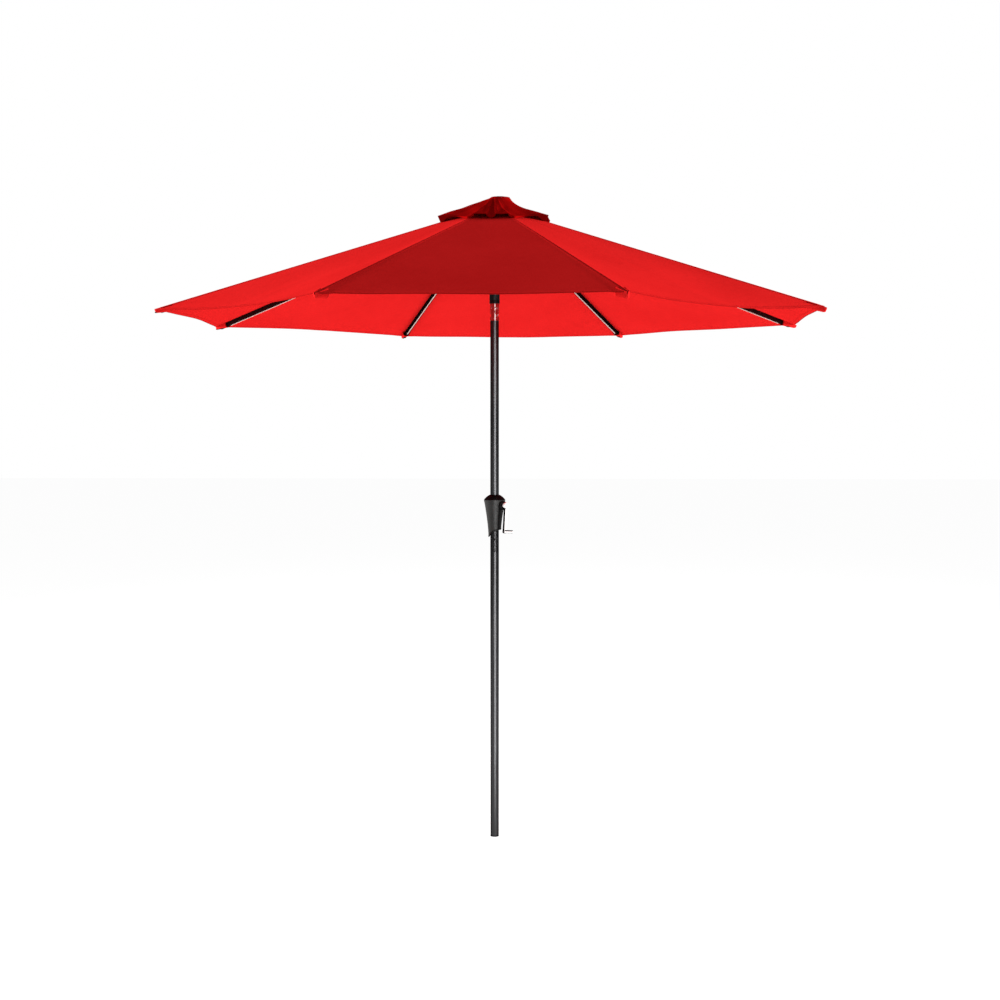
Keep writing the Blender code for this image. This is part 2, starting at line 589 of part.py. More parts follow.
# ---------------------------------------------------------------- ribs, struts and canopy
def rib_mesh(paint):
    start, end = 0.020, RIB_LENGTH - CAP_LENGTH
    body = make_object("rib_pattern", stepped_bar([(start, RIB_HALF_WIDTH, RIB_HALF_HEIGHT),
                                                   (end, RIB_HALF_WIDTH, RIB_HALF_HEIGHT)]), paint)
    tongue = rounded_plate(0.0064, 0.030, -0.0025, 0.0025)
    wire_hole = rod(0.0020, -0.0100, 0.0100, 12, "Y")
    hollow = block((0.036, TUBE_WALL - RIB_HALF_WIDTH, TUBE_WALL - RIB_HALF_HEIGHT),
                   (end + 0.01, RIB_HALF_WIDTH - TUBE_WALL, RIB_HALF_HEIGHT - TUBE_WALL))
    foot = block((BRACKET_AT - 0.014, -0.0058, -RIB_HALF_HEIGHT - 0.0010),
                 (BRACKET_AT + 0.014, 0.0058, -RIB_HALF_HEIGHT + 0.0004))
    blade = rounded_plate(0.0068, BRACKET_DROP - RIB_HALF_HEIGHT, -0.00225, 0.00225)
    blade.transform(Matrix.Rotation(-math.pi / 2, 4, "Y"))
    shift(blade, (BRACKET_AT, 0, -BRACKET_DROP))
    pin_hole = shift(rod(0.0024, -0.0100, 0.0100, 12, "Y"), (BRACKET_AT, 0, -BRACKET_DROP))
    carve(body, [("UNION", tongue), ("DIFFERENCE", wire_hole), ("DIFFERENCE", hollow),
                 ("UNION", foot), ("UNION", blade), ("DIFFERENCE", pin_hole)])
    return take_mesh(body)


def strut_mesh(paint):
    """Along X from its pivot on the rib to its pivot on the runner."""
    end = STRUT_LENGTH - 0.020
    forked = rounded_plate(STRUT_HALF_HEIGHT, end, -STRUT_HALF_WIDTH, STRUT_HALF_WIDTH)
    body = make_object("strut_pattern", forked, paint)
    fork_slot = block((-0.020, -0.0027, -0.020), (0.0140, 0.0027, 0.020))
    hollow = block((0.0105, TUBE_WALL - STRUT_HALF_WIDTH, TUBE_WALL - STRUT_HALF_HEIGHT),
                   (end - 0.012, STRUT_HALF_WIDTH - TUBE_WALL, STRUT_HALF_HEIGHT - TUBE_WALL))
    pin = rod(0.0020, -0.0045, 0.0045, 10, "Y")
    tongue = rounded_plate(0.0062, 0.024, -0.00225, 0.00225)
    tongue.transform(Matrix.Rotation(math.pi, 4, "Z"))
    shift(tongue, (STRUT_LENGTH, 0, 0))
    wire_hole = shift(rod(0.0020, -0.0100, 0.0100, 12, "Y"), (STRUT_LENGTH, 0, 0))
    carve(body, [("DIFFERENCE", fork_slot), ("DIFFERENCE", hollow), ("UNION", pin),
                 ("UNION", tongue), ("DIFFERENCE", wire_hole)])
    return take_mesh(body)


def rib_cap_mesh(plastic):
    end = RIB_LENGTH - CAP_LENGTH
    inner_y = RIB_HALF_WIDTH - TUBE_WALL - TOUCH_GAP
    inner_z = RIB_HALF_HEIGHT - TUBE_WALL - TOUCH_GAP
    face = end + TOUCH_GAP
    body = make_object("cap_pattern", stepped_bar([
        (end - 0.030, inner_y - 0.0006, inner_z - 0.0006), (end - 0.026, inner_y, inner_z),
        (face, inner_y, inner_z), (face, RIB_HALF_WIDTH, RIB_HALF_HEIGHT),
        (face + 0.004, RIB_HALF_WIDTH, RIB_HALF_HEIGHT), (face + 0.010, 0.0050, 0.0062),
        (RIB_LENGTH - 0.008, 0.0040, 0.0040), (RIB_LENGTH - 0.003, 0.0034, 0.0030),
        (RIB_LENGTH, 0.0020, 0.0016)]), plastic)
    return take_mesh(body)


def take_mesh(body):
    mesh = body.data
    bpy.data.objects.remove(body, do_unlink=True)
    return mesh


def panel_mesh(cloth):
    """One eighth of the main canopy, centred on a rib: two flat half panels that meet over the rib."""
    bm = bmesh.new()
    rows = 4
    slope = math.tan(RIB_SLOPE)
    rise = CLOTH_RISE / math.cos(RIB_SLOPE)
    under, over = [], []
    for row in range(rows + 1):
        radius = OPENING_RADIUS + (CANOPY_RADIUS - OPENING_RADIUS) * row / rows
        z = rise - (radius - PIVOT_RADIUS) * slope
        low_line, high_line = [], []
        for share in (-1, -0.5, 0, 0.5, 1):
            half_chord = radius * math.sin(HALF_SECTOR)
            inset = abs(share) * half_chord * math.sin(HALF_SECTOR)
            x = radius - inset - PIVOT_RADIUS
            y = share * (half_chord * math.cos(HALF_SECTOR) - TOUCH_GAP)
            low_line.append(bm.verts.new((x, y, z)))
            high_line.append(bm.verts.new((x, y, z + CLOTH)))
        under.append(low_line)
        over.append(high_line)
    for sheet in (under, over):
        for a, b in zip(sheet, sheet[1:]):
            for i in range(4):
                bm.faces.new((a[i], a[i + 1], b[i + 1], b[i]))
    edge_low = under[0] + [line[-1] for line in under[1:]] + list(reversed(under[-1][:-1]))
    edge_high = over[0] + [line[-1] for line in over[1:]] + list(reversed(over[-1][:-1]))
    edge_low += [line[0] for line in reversed(under[1:-1])]
    edge_high += [line[0] for line in reversed(over[1:-1])]
    ring_faces(bm, edge_low, edge_high)
    return take_mesh(make_object("panel_pattern", bm, cloth))


def make_ribs(paint, plastic, cloth):
    rib, strut, cap, panel = rib_mesh(paint), strut_mesh(paint), rib_cap_mesh(plastic), panel_mesh(cloth)
    ribs = []
    for number, angle in enumerate(rib_angles(), start=1):
        outwards = Vector((math.cos(angle), math.sin(angle), 0))
        pivot = outwards * PIVOT_RADIUS + Vector((0, 0, HUB_HEIGHT))
        bracket = pivot + outwards * STRUT_LENGTH * math.cos(STRUT_SLOPE)
        bracket.z -= STRUT_LENGTH * math.sin(STRUT_SLOPE)
        lean = (0, RIB_SLOPE, angle)
        main = make_object(f"rib_{number}", rib, location=pivot, rotation=lean)
        end = make_object(f"rib_cap_{number}", cap, location=pivot, rotation=lean)
        sheet = make_object(f"canopy_panel_{number}", panel, location=pivot, rotation=(0, 0, angle))
        back = (0, math.pi - STRUT_SLOPE, angle)
        brace = make_object(f"strut_{number}", strut, location=bracket, rotation=back)
        ride_on(main, [end, sheet, brace])
        ribs.append(main)
    return ribs


def make_vent(cloth):
    """The small upper canopy: flat over the hub, then sloping to its own eight corners."""
    bm = bmesh.new()
    count = 2 * RIB_COUNT
    low = HUB_TOP + TOUCH_GAP
    rings = [(0.0045, low, False), (VENT_FLAT_RADIUS, low, False), (0.130, 0, True), (VENT_RADIUS, 0, True)]
    skins = []
    for lift in (0, CLOTH):
        loops = []
        for radius, height, sloping in rings:
            if sloping:
                share = (radius - VENT_FLAT_RADIUS) / (VENT_RADIUS - VENT_FLAT_RADIUS)
                height = low + (VENT_RIM_HEIGHT - low) * share
            loop = []
            for i in range(count):
                angle = rib_angles()[0] + HALF_SECTOR * i
                reach = radius * (math.cos(HALF_SECTOR) if sloping and i % 2 else 1)
                loop.append(bm.verts.new((reach * math.cos(angle), reach * math.sin(angle), height + lift)))
            loops.append(loop)
        skins.append(loops)
        for a, b in zip(loops, loops[1:]):
            ring_faces(bm, a, b)
    ring_faces(bm, skins[0][0], skins[1][0])
    ring_faces(bm, skins[0][-1], skins[1][-1])
    return make_object("vent_canopy", bm, cloth)


def main():
    clear_scene()
    paint = finish("black_paint", (0.045, 0.043, 0.042), 0.35, 0.6)
    plastic = finish("black_plastic", (0.012, 0.011, 0.011), 0.4)
    chrome = finish("chrome", (0.85, 0.84, 0.83), 0.12, 1.0)
    spring_steel = finish("spring_steel", (0.5, 0.5, 0.5), 0.3, 1.0)
    red_metal = finish("red_metal", (0.35, 0.02, 0.02), 0.3, 0.5)
    cloth = finish("red_cloth", (0.55, 0.02, 0.02), 0.85)
    braid = finish("cord_braid", (0.03, 0.03, 0.03), 0.9)

    make_pole(paint, plastic, spring_steel)
    make_housing(plastic)
    make_crank(plastic, chrome, spring_steel)
    tilt_axis = bpy.data.objects.new("tilt_axis", None)
    tilt_axis.location = (0, 0, TILT_HEIGHT)
    bpy.context.scene.collection.objects.link(tilt_axis)
    knuckle = make_tilt_joint(red_metal, spring_steel, plastic)
    above = [knuckle] + make_hub(plastic, spring_steel, paint) + make_runner(plastic, spring_steel)
    above += make_ribs(paint, plastic, cloth) + [make_vent(cloth)]
    ride_on(tilt_axis, above)
    make_lift_cord(braid)


main()
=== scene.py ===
"""Looks of the octagonal market umbrella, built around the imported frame.

Metres, +Z up. Ribs are numbered clockwise from compass 22.5 degrees, seen from above, with +Y as north.
The cloth is made as eight gores, each centred on a rib, which meet along the middles of the panels.
"""
import json
import math

import bmesh
import bpy
import numpy as np
from mathutils import Matrix, Vector


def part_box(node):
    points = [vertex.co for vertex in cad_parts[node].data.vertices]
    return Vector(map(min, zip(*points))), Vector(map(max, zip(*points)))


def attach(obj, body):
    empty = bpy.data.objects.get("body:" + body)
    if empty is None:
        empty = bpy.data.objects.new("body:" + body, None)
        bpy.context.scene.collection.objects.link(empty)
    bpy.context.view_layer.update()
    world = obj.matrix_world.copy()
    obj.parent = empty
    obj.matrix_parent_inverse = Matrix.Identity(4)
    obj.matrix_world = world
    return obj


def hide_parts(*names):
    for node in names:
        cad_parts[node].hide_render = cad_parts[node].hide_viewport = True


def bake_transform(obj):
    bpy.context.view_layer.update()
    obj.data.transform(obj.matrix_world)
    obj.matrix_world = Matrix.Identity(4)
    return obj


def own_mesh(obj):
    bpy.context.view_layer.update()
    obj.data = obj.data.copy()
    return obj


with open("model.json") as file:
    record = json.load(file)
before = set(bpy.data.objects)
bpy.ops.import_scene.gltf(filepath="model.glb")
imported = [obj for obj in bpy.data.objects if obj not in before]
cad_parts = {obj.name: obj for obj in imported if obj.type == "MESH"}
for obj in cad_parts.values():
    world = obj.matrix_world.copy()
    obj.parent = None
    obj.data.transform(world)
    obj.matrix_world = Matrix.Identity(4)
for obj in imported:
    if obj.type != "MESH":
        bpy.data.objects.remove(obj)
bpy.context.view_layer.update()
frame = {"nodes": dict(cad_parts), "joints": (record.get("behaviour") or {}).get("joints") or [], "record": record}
NODES, JOINTS = frame["nodes"], frame["joints"]

# ---------------------------------------------------------------- sizes, from the frame where it has them
RIB_COUNT = 8
HALF_SECTOR = math.pi / RIB_COUNT
RIBS = range(1, RIB_COUNT + 1)
FOLD = {k: next(j for j in JOINTS if j["child"] == f"rib_{k}") for k in RIBS}
HUB = Vector(FOLD[1]["pos_m"])
HUB_HEIGHT, PIVOT_RADIUS = HUB.z, math.hypot(HUB.x, HUB.y)
TILT = Vector(next(j for j in JOINTS if j["name"] == "tilt_hinge")["pos_m"])
CRANK = next(j for j in JOINTS if j["name"] == "crank_turn")
GRIP = next(j for j in JOINTS if j["name"] == "grip_spin")
CRANK_HEIGHT = CRANK["pos_m"][2]
CRANK_SIDE = math.atan2(CRANK["axis"][1], CRANK["axis"][0])
ARM_LENGTH = CRANK_HEIGHT - GRIP["pos_m"][2]
# along the crank's shaft, measured from the pole's axis
BOSS_FACE, ARM_INNER, ARM_THICKNESS, GRIP_END = 0.0470, 0.0539, 0.0098, 0.0912
ARM_LEAN = math.tan(math.radians(4.6))
HOUSING_RIM, HOUSING_FOOT_RADIUS, HOUSING_FLARE = 1.346, 0.0242, 0.0182
DOME_NECK = 0.0180

RIB_SLOPE = math.radians(18.2)
RIB_LENGTH = 1.3625
RIB_HALF_HEIGHT = 0.009
CLOTH_RISE = 0.0107              # the cloth's underside above the rib's centre line
TIP_RADIUS = 1.334
OPENING_RADIUS = 0.118           # hidden under the vent
CLOTH, POCKET_CLOTH, VENT_CLOTH = 0.0010, 0.0011, 0.0011
HEM_CLOTH, SEAM_CLOTH = 0.0026, 0.0032
HEM_WIDTH = 0.019
SEAM_HALF = 0.0062
POCKET_LENGTH = 0.062
POLE_WALL = 0.0015
YARN_PITCH, STITCH_PITCH = 0.0011, 0.0042
FAR_AWAY = 9.0                   # a distance that no stitch line reaches

PANELS = ("far", "far_right", "right", "near_right", "near", "near_left", "left", "far_left")
# how far the hem of each panel curves in from the straight chord, and how far it hangs, in its middle
HEM_INSET = dict(zip(PANELS, (0.020, 0.030, 0.024, 0.030, 0.026, 0.030, 0.034, 0.036)))
HEM_SAG = dict(zip(PANELS, (0.015, 0.010, 0.018, 0.033, 0.014, 0.026, 0.010, 0.008)))


def compass(k):
    """Direction of rib k, counted from +X towards +Y."""
    return math.radians(90 - 22.5 - 45 * (k - 1))


def panel_of(k, side):
    """The panel on the clockwise (+1) or the other (-1) side of rib k."""
    return PANELS[k % RIB_COUNT] if side > 0 else PANELS[k - 1]


def rib_axis(k):
    """The rib's pivot, its outward direction in plan and its clockwise tangent."""
    a = compass(k)
    return (Vector((PIVOT_RADIUS * math.cos(a), PIVOT_RADIUS * math.sin(a), HUB_HEIGHT)),
            Vector((math.cos(a), math.sin(a), 0)), Vector((math.sin(a), -math.cos(a), 0)))


# ---------------------------------------------------------------- node helpers for materials
class Shader:
    """A Principled material and short calls for the nodes that drive it."""

    def __init__(self, name, colour, roughness, metallic=0.0, **constants):
        self.material = bpy.data.materials.new(name)
        self.material.use_nodes = True
        self.tree = self.material.node_tree
        self.bsdf = self.tree.nodes["Principled BSDF"]
        self.bsdf.inputs["Base Color"].default_value = (*colour, 1)
        self.bsdf.inputs["Roughness"].default_value = roughness
        self.bsdf.inputs["Metallic"].default_value = metallic
        for socket, value in constants.items():
            self.bsdf.inputs[socket.replace("_", " ")].default_value = value

    def add(self, kind, links=None, **settings):
        node = self.tree.nodes.new(kind)
        for key, value in settings.items():
            setattr(node, key, value)
        for socket, value in (links or {}).items():
            self.feed(node.inputs[socket], value)
        return node

    def feed(self, socket, value):
        if isinstance(value, bpy.types.NodeSocket):
            self.tree.links.new(value, socket)
        else:
            socket.default_value = value

    def math(self, operation, a, b=0.0, c=0.0):
        node = self.add("ShaderNodeMath", {0: a, 1: b, 2: c}, operation=operation)
        return node.outputs[0]

    def noise(self, vector, scale, detail=3.0, roughness=0.55):
        node = self.add("ShaderNodeTexNoise", {"Vector": vector, "Scale": scale, "Detail": detail,
                                               "Roughness": roughness})
        return node.outputs["Fac"]

    def remap(self, value, low, high, to_low, to_high):
        node = self.add("ShaderNodeMapRange", {"Value": value, "From Min": low, "From Max": high,
                                               "To Min": to_low, "To Max": to_high})
        return node.outputs["Result"]

    def mix(self, factor, a, b):
        node = self.add("ShaderNodeMix", data_type="RGBA")
        self.feed(node.inputs["Factor"], factor)
        for socket, value in (("A", a), ("B", b)):
            target = next(s for s in node.inputs if s.name == socket and s.type == "RGBA")
            self.feed(target, (*value, 1) if isinstance(value, tuple) else value)
        return next(s for s in node.outputs if s.type == "RGBA")

    def bump(self, height, strength, distance, normal=None):
        links = {"Height": height, "Strength": strength, "Distance": distance}
        if normal:
            links["Normal"] = normal
        return self.add("ShaderNodeBump", links).outputs["Normal"]

    def place(self):
        return self.add("ShaderNodeTexCoord").outputs["Object"]

    def attribute(self, name):
        return self.add("ShaderNodeAttribute", attribute_name=name).outputs["Fac"]

    def drive(self, **sockets):
        for socket, value in sockets.items():
            self.feed(self.bsdf.inputs[socket.replace("_", " ")], value)
        return self.material


def cloth_material(name, colour, shade, thread):
    """Plain-woven polyester: crossed yarns, slubs, soft blotches, lockstitch along seams and hems,
    and painted shade, a darker tone along the hem's edge and where the cloth is marked for it."""
    s = Shader(name, colour, 0.80, Specular_IOR_Level=0.0)
    uv = s.add("ShaderNodeUVMap", uv_map="grain").outputs["UV"]
    split = s.add("ShaderNodeSeparateXYZ", {0: uv})
    across, along = split.outputs[0], split.outputs[1]

    yarn = 2 * math.pi / YARN_PITCH
    warp = s.math("SINE", s.math("MULTIPLY", across, yarn))
    weft = s.math("SINE", s.math("MULTIPLY", along, yarn))
    weave = s.math("MULTIPLY", warp, weft)
    stretched = s.add("ShaderNodeMapping", {"Vector": uv, "Scale": (1.0, 0.06, 1.0)}).outputs[0]
    crossed = s.add("ShaderNodeMapping", {"Vector": uv, "Scale": (0.06, 1.0, 1.0)}).outputs[0]
    slubs = s.math("ADD", s.noise(stretched, 420.0, 2.0), s.noise(crossed, 420.0, 2.0))
    blotches = s.noise(s.place(), 2.6, 4.0)

    tone = s.math("ADD", s.remap(slubs, 0.8, 1.2, -0.10, 0.10), s.remap(blotches, 0.35, 0.65, -0.07, 0.07))
    tone = s.math("ADD", tone, s.math("MULTIPLY", weave, 0.05))
    light = tuple(min(1, 2 * c - d) for c, d in zip(colour, shade))
    base = s.mix(s.remap(tone, -0.25, 0.25, 0.0, 1.0), shade, light)

    seam = s.math("ABSOLUTE", s.attribute("seam_across"))
    hem = s.attribute("hem_distance")
    lines = s.math("MAXIMUM", stitch_line(s, seam, 0.0042), stitch_line(s, hem, 0.0165))
    lines = s.math("MAXIMUM", lines, stitch_line(s, hem, 0.0028))
    run = s.math("ADD", s.attribute("seam_along"), across)
    dash = s.math("LESS_THAN", s.math("FRACT", s.math("DIVIDE", run, STITCH_PITCH)), 0.74)
    stitches = s.math("MULTIPLY", lines, dash)
    base = s.mix(stitches, base, thread)
    # painted shade: a dark line along the hem's edge and the marked places darken the cloth towards 0.3 of its
    # deep tone
    painted_hem_shade = s.math("MULTIPLY", s.math("LESS_THAN", hem, 0.0036), 0.6)
    painted_shade = s.math("MAXIMUM", s.attribute("painted_shade"), painted_hem_shade)
    base = s.mix(painted_shade, base, tuple(c * 0.30 for c in shade))
    soft = s.noise(uv, 35.0, 3.0)
    height = s.math("MULTIPLY", weave, 0.35)
    normal = s.bump(height, 0.45, 0.00012)
    normal = s.bump(slubs, 0.25, 0.00025, normal)
    normal = s.bump(soft, 0.35, 0.0012, normal)
    normal = s.bump(s.math("SUBTRACT", stitches, s.math("MULTIPLY", lines, 0.7)), 0.9, 0.0006, normal)
    rough = s.remap(slubs, 0.8, 1.2, 0.72, 0.86)
    return s.drive(Base_Color=base, Roughness=rough, Normal=normal)


def stitch_line(s, distance, at):
    """1 on a line of thread at that distance from a seam or an edge."""
    return s.math("LESS_THAN", s.math("ABSOLUTE", s.math("SUBTRACT", distance, at)), 0.0005)


def painted_steel(name, colour, roughness=0.36, shine=0.3, coat=0.0, metal=0.0):
    """Coated or lacquered steel: fine orange peel, faint rubbed streaks along its length."""
    s = Shader(name, colour, roughness, metal, Specular_IOR_Level=shine, Coat_Weight=coat,
               Coat_Roughness=0.15)
    if metal:
        s.bsdf.inputs["Specular Tint"].default_value = (0, 0, 0, 1)
    place = s.place()
    peel = s.noise(place, 900.0, 2.0)
    streaks = s.add("ShaderNodeMapping", {"Vector": place, "Scale": (1.0, 1.0, 0.03)}).outputs[0]
    rubbed = s.noise(streaks, 160.0, 4.0, 0.6)
    lighter = tuple(c * 1.6 + 0.002 for c in colour)
    base = s.mix(s.remap(rubbed, 0.45, 0.75, 0.0, 0.55), colour, lighter)
    rough = s.remap(rubbed, 0.3, 0.7, roughness - 0.06, roughness + 0.10)
    return s.drive(Base_Color=base, Roughness=rough, Normal=s.bump(peel, 0.10, 0.0002))


def moulded_plastic(name, colour, roughness=0.42, grain=1400.0, shine=0.2):
    """Injection-moulded plastic: a fine sparked texture with slightly polished patches."""
    s = Shader(name, colour, roughness, Specular_IOR_Level=shine)
    place = s.place()
    spark = s.noise(place, grain, 3.0)
    handled = s.noise(place, 30.0, 3.0)
    lighter = tuple(c * 1.4 + 0.001 for c in colour)
    base = s.mix(s.remap(handled, 0.35, 0.7, 0.0, 0.6), colour, lighter)
    rough = s.remap(handled, 0.3, 0.7, roughness - 0.07, roughness + 0.09)
    return s.drive(Base_Color=base, Roughness=rough, Normal=s.bump(spark, 0.22, 0.00025))


def plated_metal(name, colour, roughness, brushed=0.0, metal=1.0):
    """Bright plating or drawn wire, with hairline scratches."""
    s = Shader(name, colour, roughness, metal)
    place = s.place()
    hair = s.add("ShaderNodeMapping", {"Vector": place, "Scale": (1.0, 1.0, 0.05 + brushed)}).outputs[0]
    scratches = s.noise(hair, 1200.0, 2.0, 0.7)
    cloud = s.noise(place, 40.0, 3.0)
    darker = tuple(c * 0.80 for c in colour)
    base = s.mix(s.remap(cloud, 0.3, 0.8, 0.0, 0.5), colour, darker)
    rough = s.remap(scratches, 0.3, 0.7, roughness * 0.7, roughness * 1.5)
    return s.drive(Base_Color=base, Roughness=rough, Normal=s.bump(scratches, 0.05, 0.0001))


def braided_cord(name, colour):
    """Braid: two sets of yarns that cross at an angle around the cord."""
    s = Shader(name, colour, 0.8)
    split = s.add("ShaderNodeSeparateXYZ", {0: s.place()})
    turn = s.math("ARCTAN2", split.outputs[1], split.outputs[0])
    climb = s.math("MULTIPLY", split.outputs[2], 2600.0)
    left = s.math("SINE", s.math("ADD", climb, s.math("MULTIPLY", turn, 6.0)))
    right = s.math("SINE", s.math("SUBTRACT", climb, s.math("MULTIPLY", turn, 6.0)))
    height = s.math("MAXIMUM", left, right)
    lighter = tuple(c * 2.4 + 0.01 for c in colour)
    base = s.mix(s.remap(height, -0.5, 1.0, 0.0, 1.0), colour, lighter)
    return s.drive(Base_Color=base, Normal=s.bump(height, 0.5, 0.0003))


def make_materials():
    """Every material, by the short name that the pieces are made with."""
    red, deep, thread = (0.53, 0.011, 0.011), (0.465, 0.008, 0.008), (0.44, 0.010, 0.010)
    # painted shade: the vent is the canopy's own fabric, made in a darker red
    vent_red, vent_deep, vent_thread = (0.23, 0.0016, 0.0016), (0.17, 0.001, 0.001), (0.15, 0.001, 0.001)
    return {
        "canopy": cloth_material("woven_polyester", red, deep, thread),
        "vent": cloth_material("woven_polyester_vent_shaded", vent_red, vent_deep, vent_thread),
        "steel": painted_steel("satin_black_steel", (0.030, 0.030, 0.031), 0.33, 0.5, metal=1.0),
        "rib": painted_steel("satin_black_rib", (0.020, 0.012, 0.012), 0.42, 0.5, metal=1.0),
        "strip": moulded_plastic("pale_strip", (0.50, 0.36, 0.33), 0.45, 900.0, shine=0.1),
        "plastic": moulded_plastic("black_plastic", (0.014, 0.014, 0.0135), 0.46, shine=0.10),
        # painted reflection: the dome's faint red tint stands in for the red canopy reflected in it
        "dome": moulded_plastic("dome_plastic", (0.0012, 0.0004, 0.0004), 0.45, shine=0.03),
        "dark": moulded_plastic("near_black_plastic", (0.0018, 0.0015, 0.0015), 0.45, shine=0.05),
        "tilt": painted_steel("dark_red_lacquer", (0.24, 0.010, 0.010), 0.18, 0.30, 0.4),
        "chrome": plated_metal("satin_chrome", (0.76, 0.74, 0.73), 0.34, metal=0.45),
        "spring": plated_metal("spring_steel", (0.50, 0.49, 0.47), 0.28, 0.3),
        "cord": braided_cord("lift_cord_braid", (0.03, 0.03, 0.03)),
    }


# ---------------------------------------------------------------- mesh helpers
def link(name, mesh, material):
    obj = bpy.data.objects.new(name, mesh)
    bpy.context.scene.collection.objects.link(obj)
    mesh.materials.append(material)
    return obj


def from_bmesh(name, bm, material, angle=35):
    """An object from a bmesh, smooth except at edges sharper than the angle, in degrees."""
    bmesh.ops.recalc_face_normals(bm, faces=bm.faces)
    mesh = bpy.data.meshes.new(name)
    bm.to_mesh(mesh)
    bm.free()
    mesh.shade_smooth()
    mesh.set_sharp_from_angle(angle=math.radians(angle))
    return link(name, mesh, material)


def skin(bm, rings, closed=True):
    """Quads between rings of points; with closed, each ring is a loop."""
    loops = [[bm.verts.new(p) for p in ring] for ring in rings]
    for a, b in zip(loops, loops[1:]):
        last = len(a) if closed else len(a) - 1
        for i in range(last):
            j = (i + 1) % len(a)
            bm.faces.new((a[i], a[j], b[j], b[i]))
    return loops


def turned(name, profile, material, centre=(0, 0, 0), axis="Z", segments=72, angle=35):
    """A solid of revolution. The profile is a closed outline of (radius, height); radius 0 is on the axis."""
    bm = bmesh.new()
    steps = [2 * math.pi * i / segments for i in range(segments)]
    loops = []
    for radius, height in profile:
        if radius == 0:
            loops.append([bm.verts.new((0, 0, height))])
        else:
            loops.append([bm.verts.new((radius * math.cos(a), radius * math.sin(a), height)) for a in steps])
    for a, b in zip(loops, loops[1:] + loops[:1]):
        if len(a) == 1 and len(b) == 1:
            continue
        for i in range(segments):
            j = (i + 1) % segments
            corners = [a[i % len(a)], a[j % len(a)], b[j % len(b)], b[i % len(b)]]
            bm.faces.new(list(dict.fromkeys(corners)))
    turn = {"X": Matrix.Rotation(math.pi / 2, 4, "Y"), "Y": Matrix.Rotation(-math.pi / 2, 4, "X"),
            "Z": Matrix.Identity(4)}[axis]
    bm.transform(Matrix.Translation(centre) @ turn)
    return from_bmesh(name, bm, material, angle)


def rounded(points, radius, steps=5):
    """An outline with each corner replaced by an arc of that radius, or less where a side is short."""
    out = []
    count = len(points)
    for i in range(count):
        p, here, n = Vector(points[i - 1]), Vector(points[i]), Vector(points[(i + 1) % count])
        a, b = p - here, n - here
        if here.x == 0 or min(a.length, b.length) < 1e-9:
            out.append(tuple(here))
            continue
        cut = min(radius, a.length * 0.45, b.length * 0.45)
        start, end = here + a.normalized() * cut, here + b.normalized() * cut
        for step in range(steps + 1):
            t = step / steps
            point = start * (1 - t) ** 2 + here * 2 * t * (1 - t) + end * t ** 2
            out.append((point.x, point.y))
    return out


def refined(node, material, body, name=None, long_bevel=0.0, bevel=0.0005):
    """A CAD node's own shape with its flats merged, its long edges rounded and the rest eased."""
    bm = bmesh.new()
    bm.from_mesh(NODES[node].data)
    bmesh.ops.remove_doubles(bm, verts=bm.verts, dist=1e-5)
    bmesh.ops.dissolve_limit(bm, angle_limit=math.radians(0.6), verts=bm.verts, edges=bm.edges)
    if long_bevel:
        edges = [e for e in bm.edges if e.calc_length() > 0.12 and len(e.link_faces) == 2
                 and e.calc_face_angle(0) > 0.6 and e.calc_face_angle_signed(0) > 0]
        bmesh.ops.bevel(bm, geom=edges, offset=long_bevel, segments=4, profile=0.5, affect="EDGES",
                        clamp_overlap=True)
    obj = from_bmesh(name or f"{node}_fine", bm, material, 32)
    if bevel:
        edge = obj.modifiers.new("eased_edges", "BEVEL")
        edge.width, edge.segments, edge.limit_method = bevel, 2, "ANGLE"
        edge.angle_limit = math.radians(32)
        edge.harden_normals = True
    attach(obj, body)
    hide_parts(node)
    return obj


def put(obj, body, *nodes, slot=None):
    """Declares what a piece rides on and which CAD nodes it replaces; the slot argument is not used."""
    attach(obj, body)
    if nodes:
        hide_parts(*nodes)
    return obj


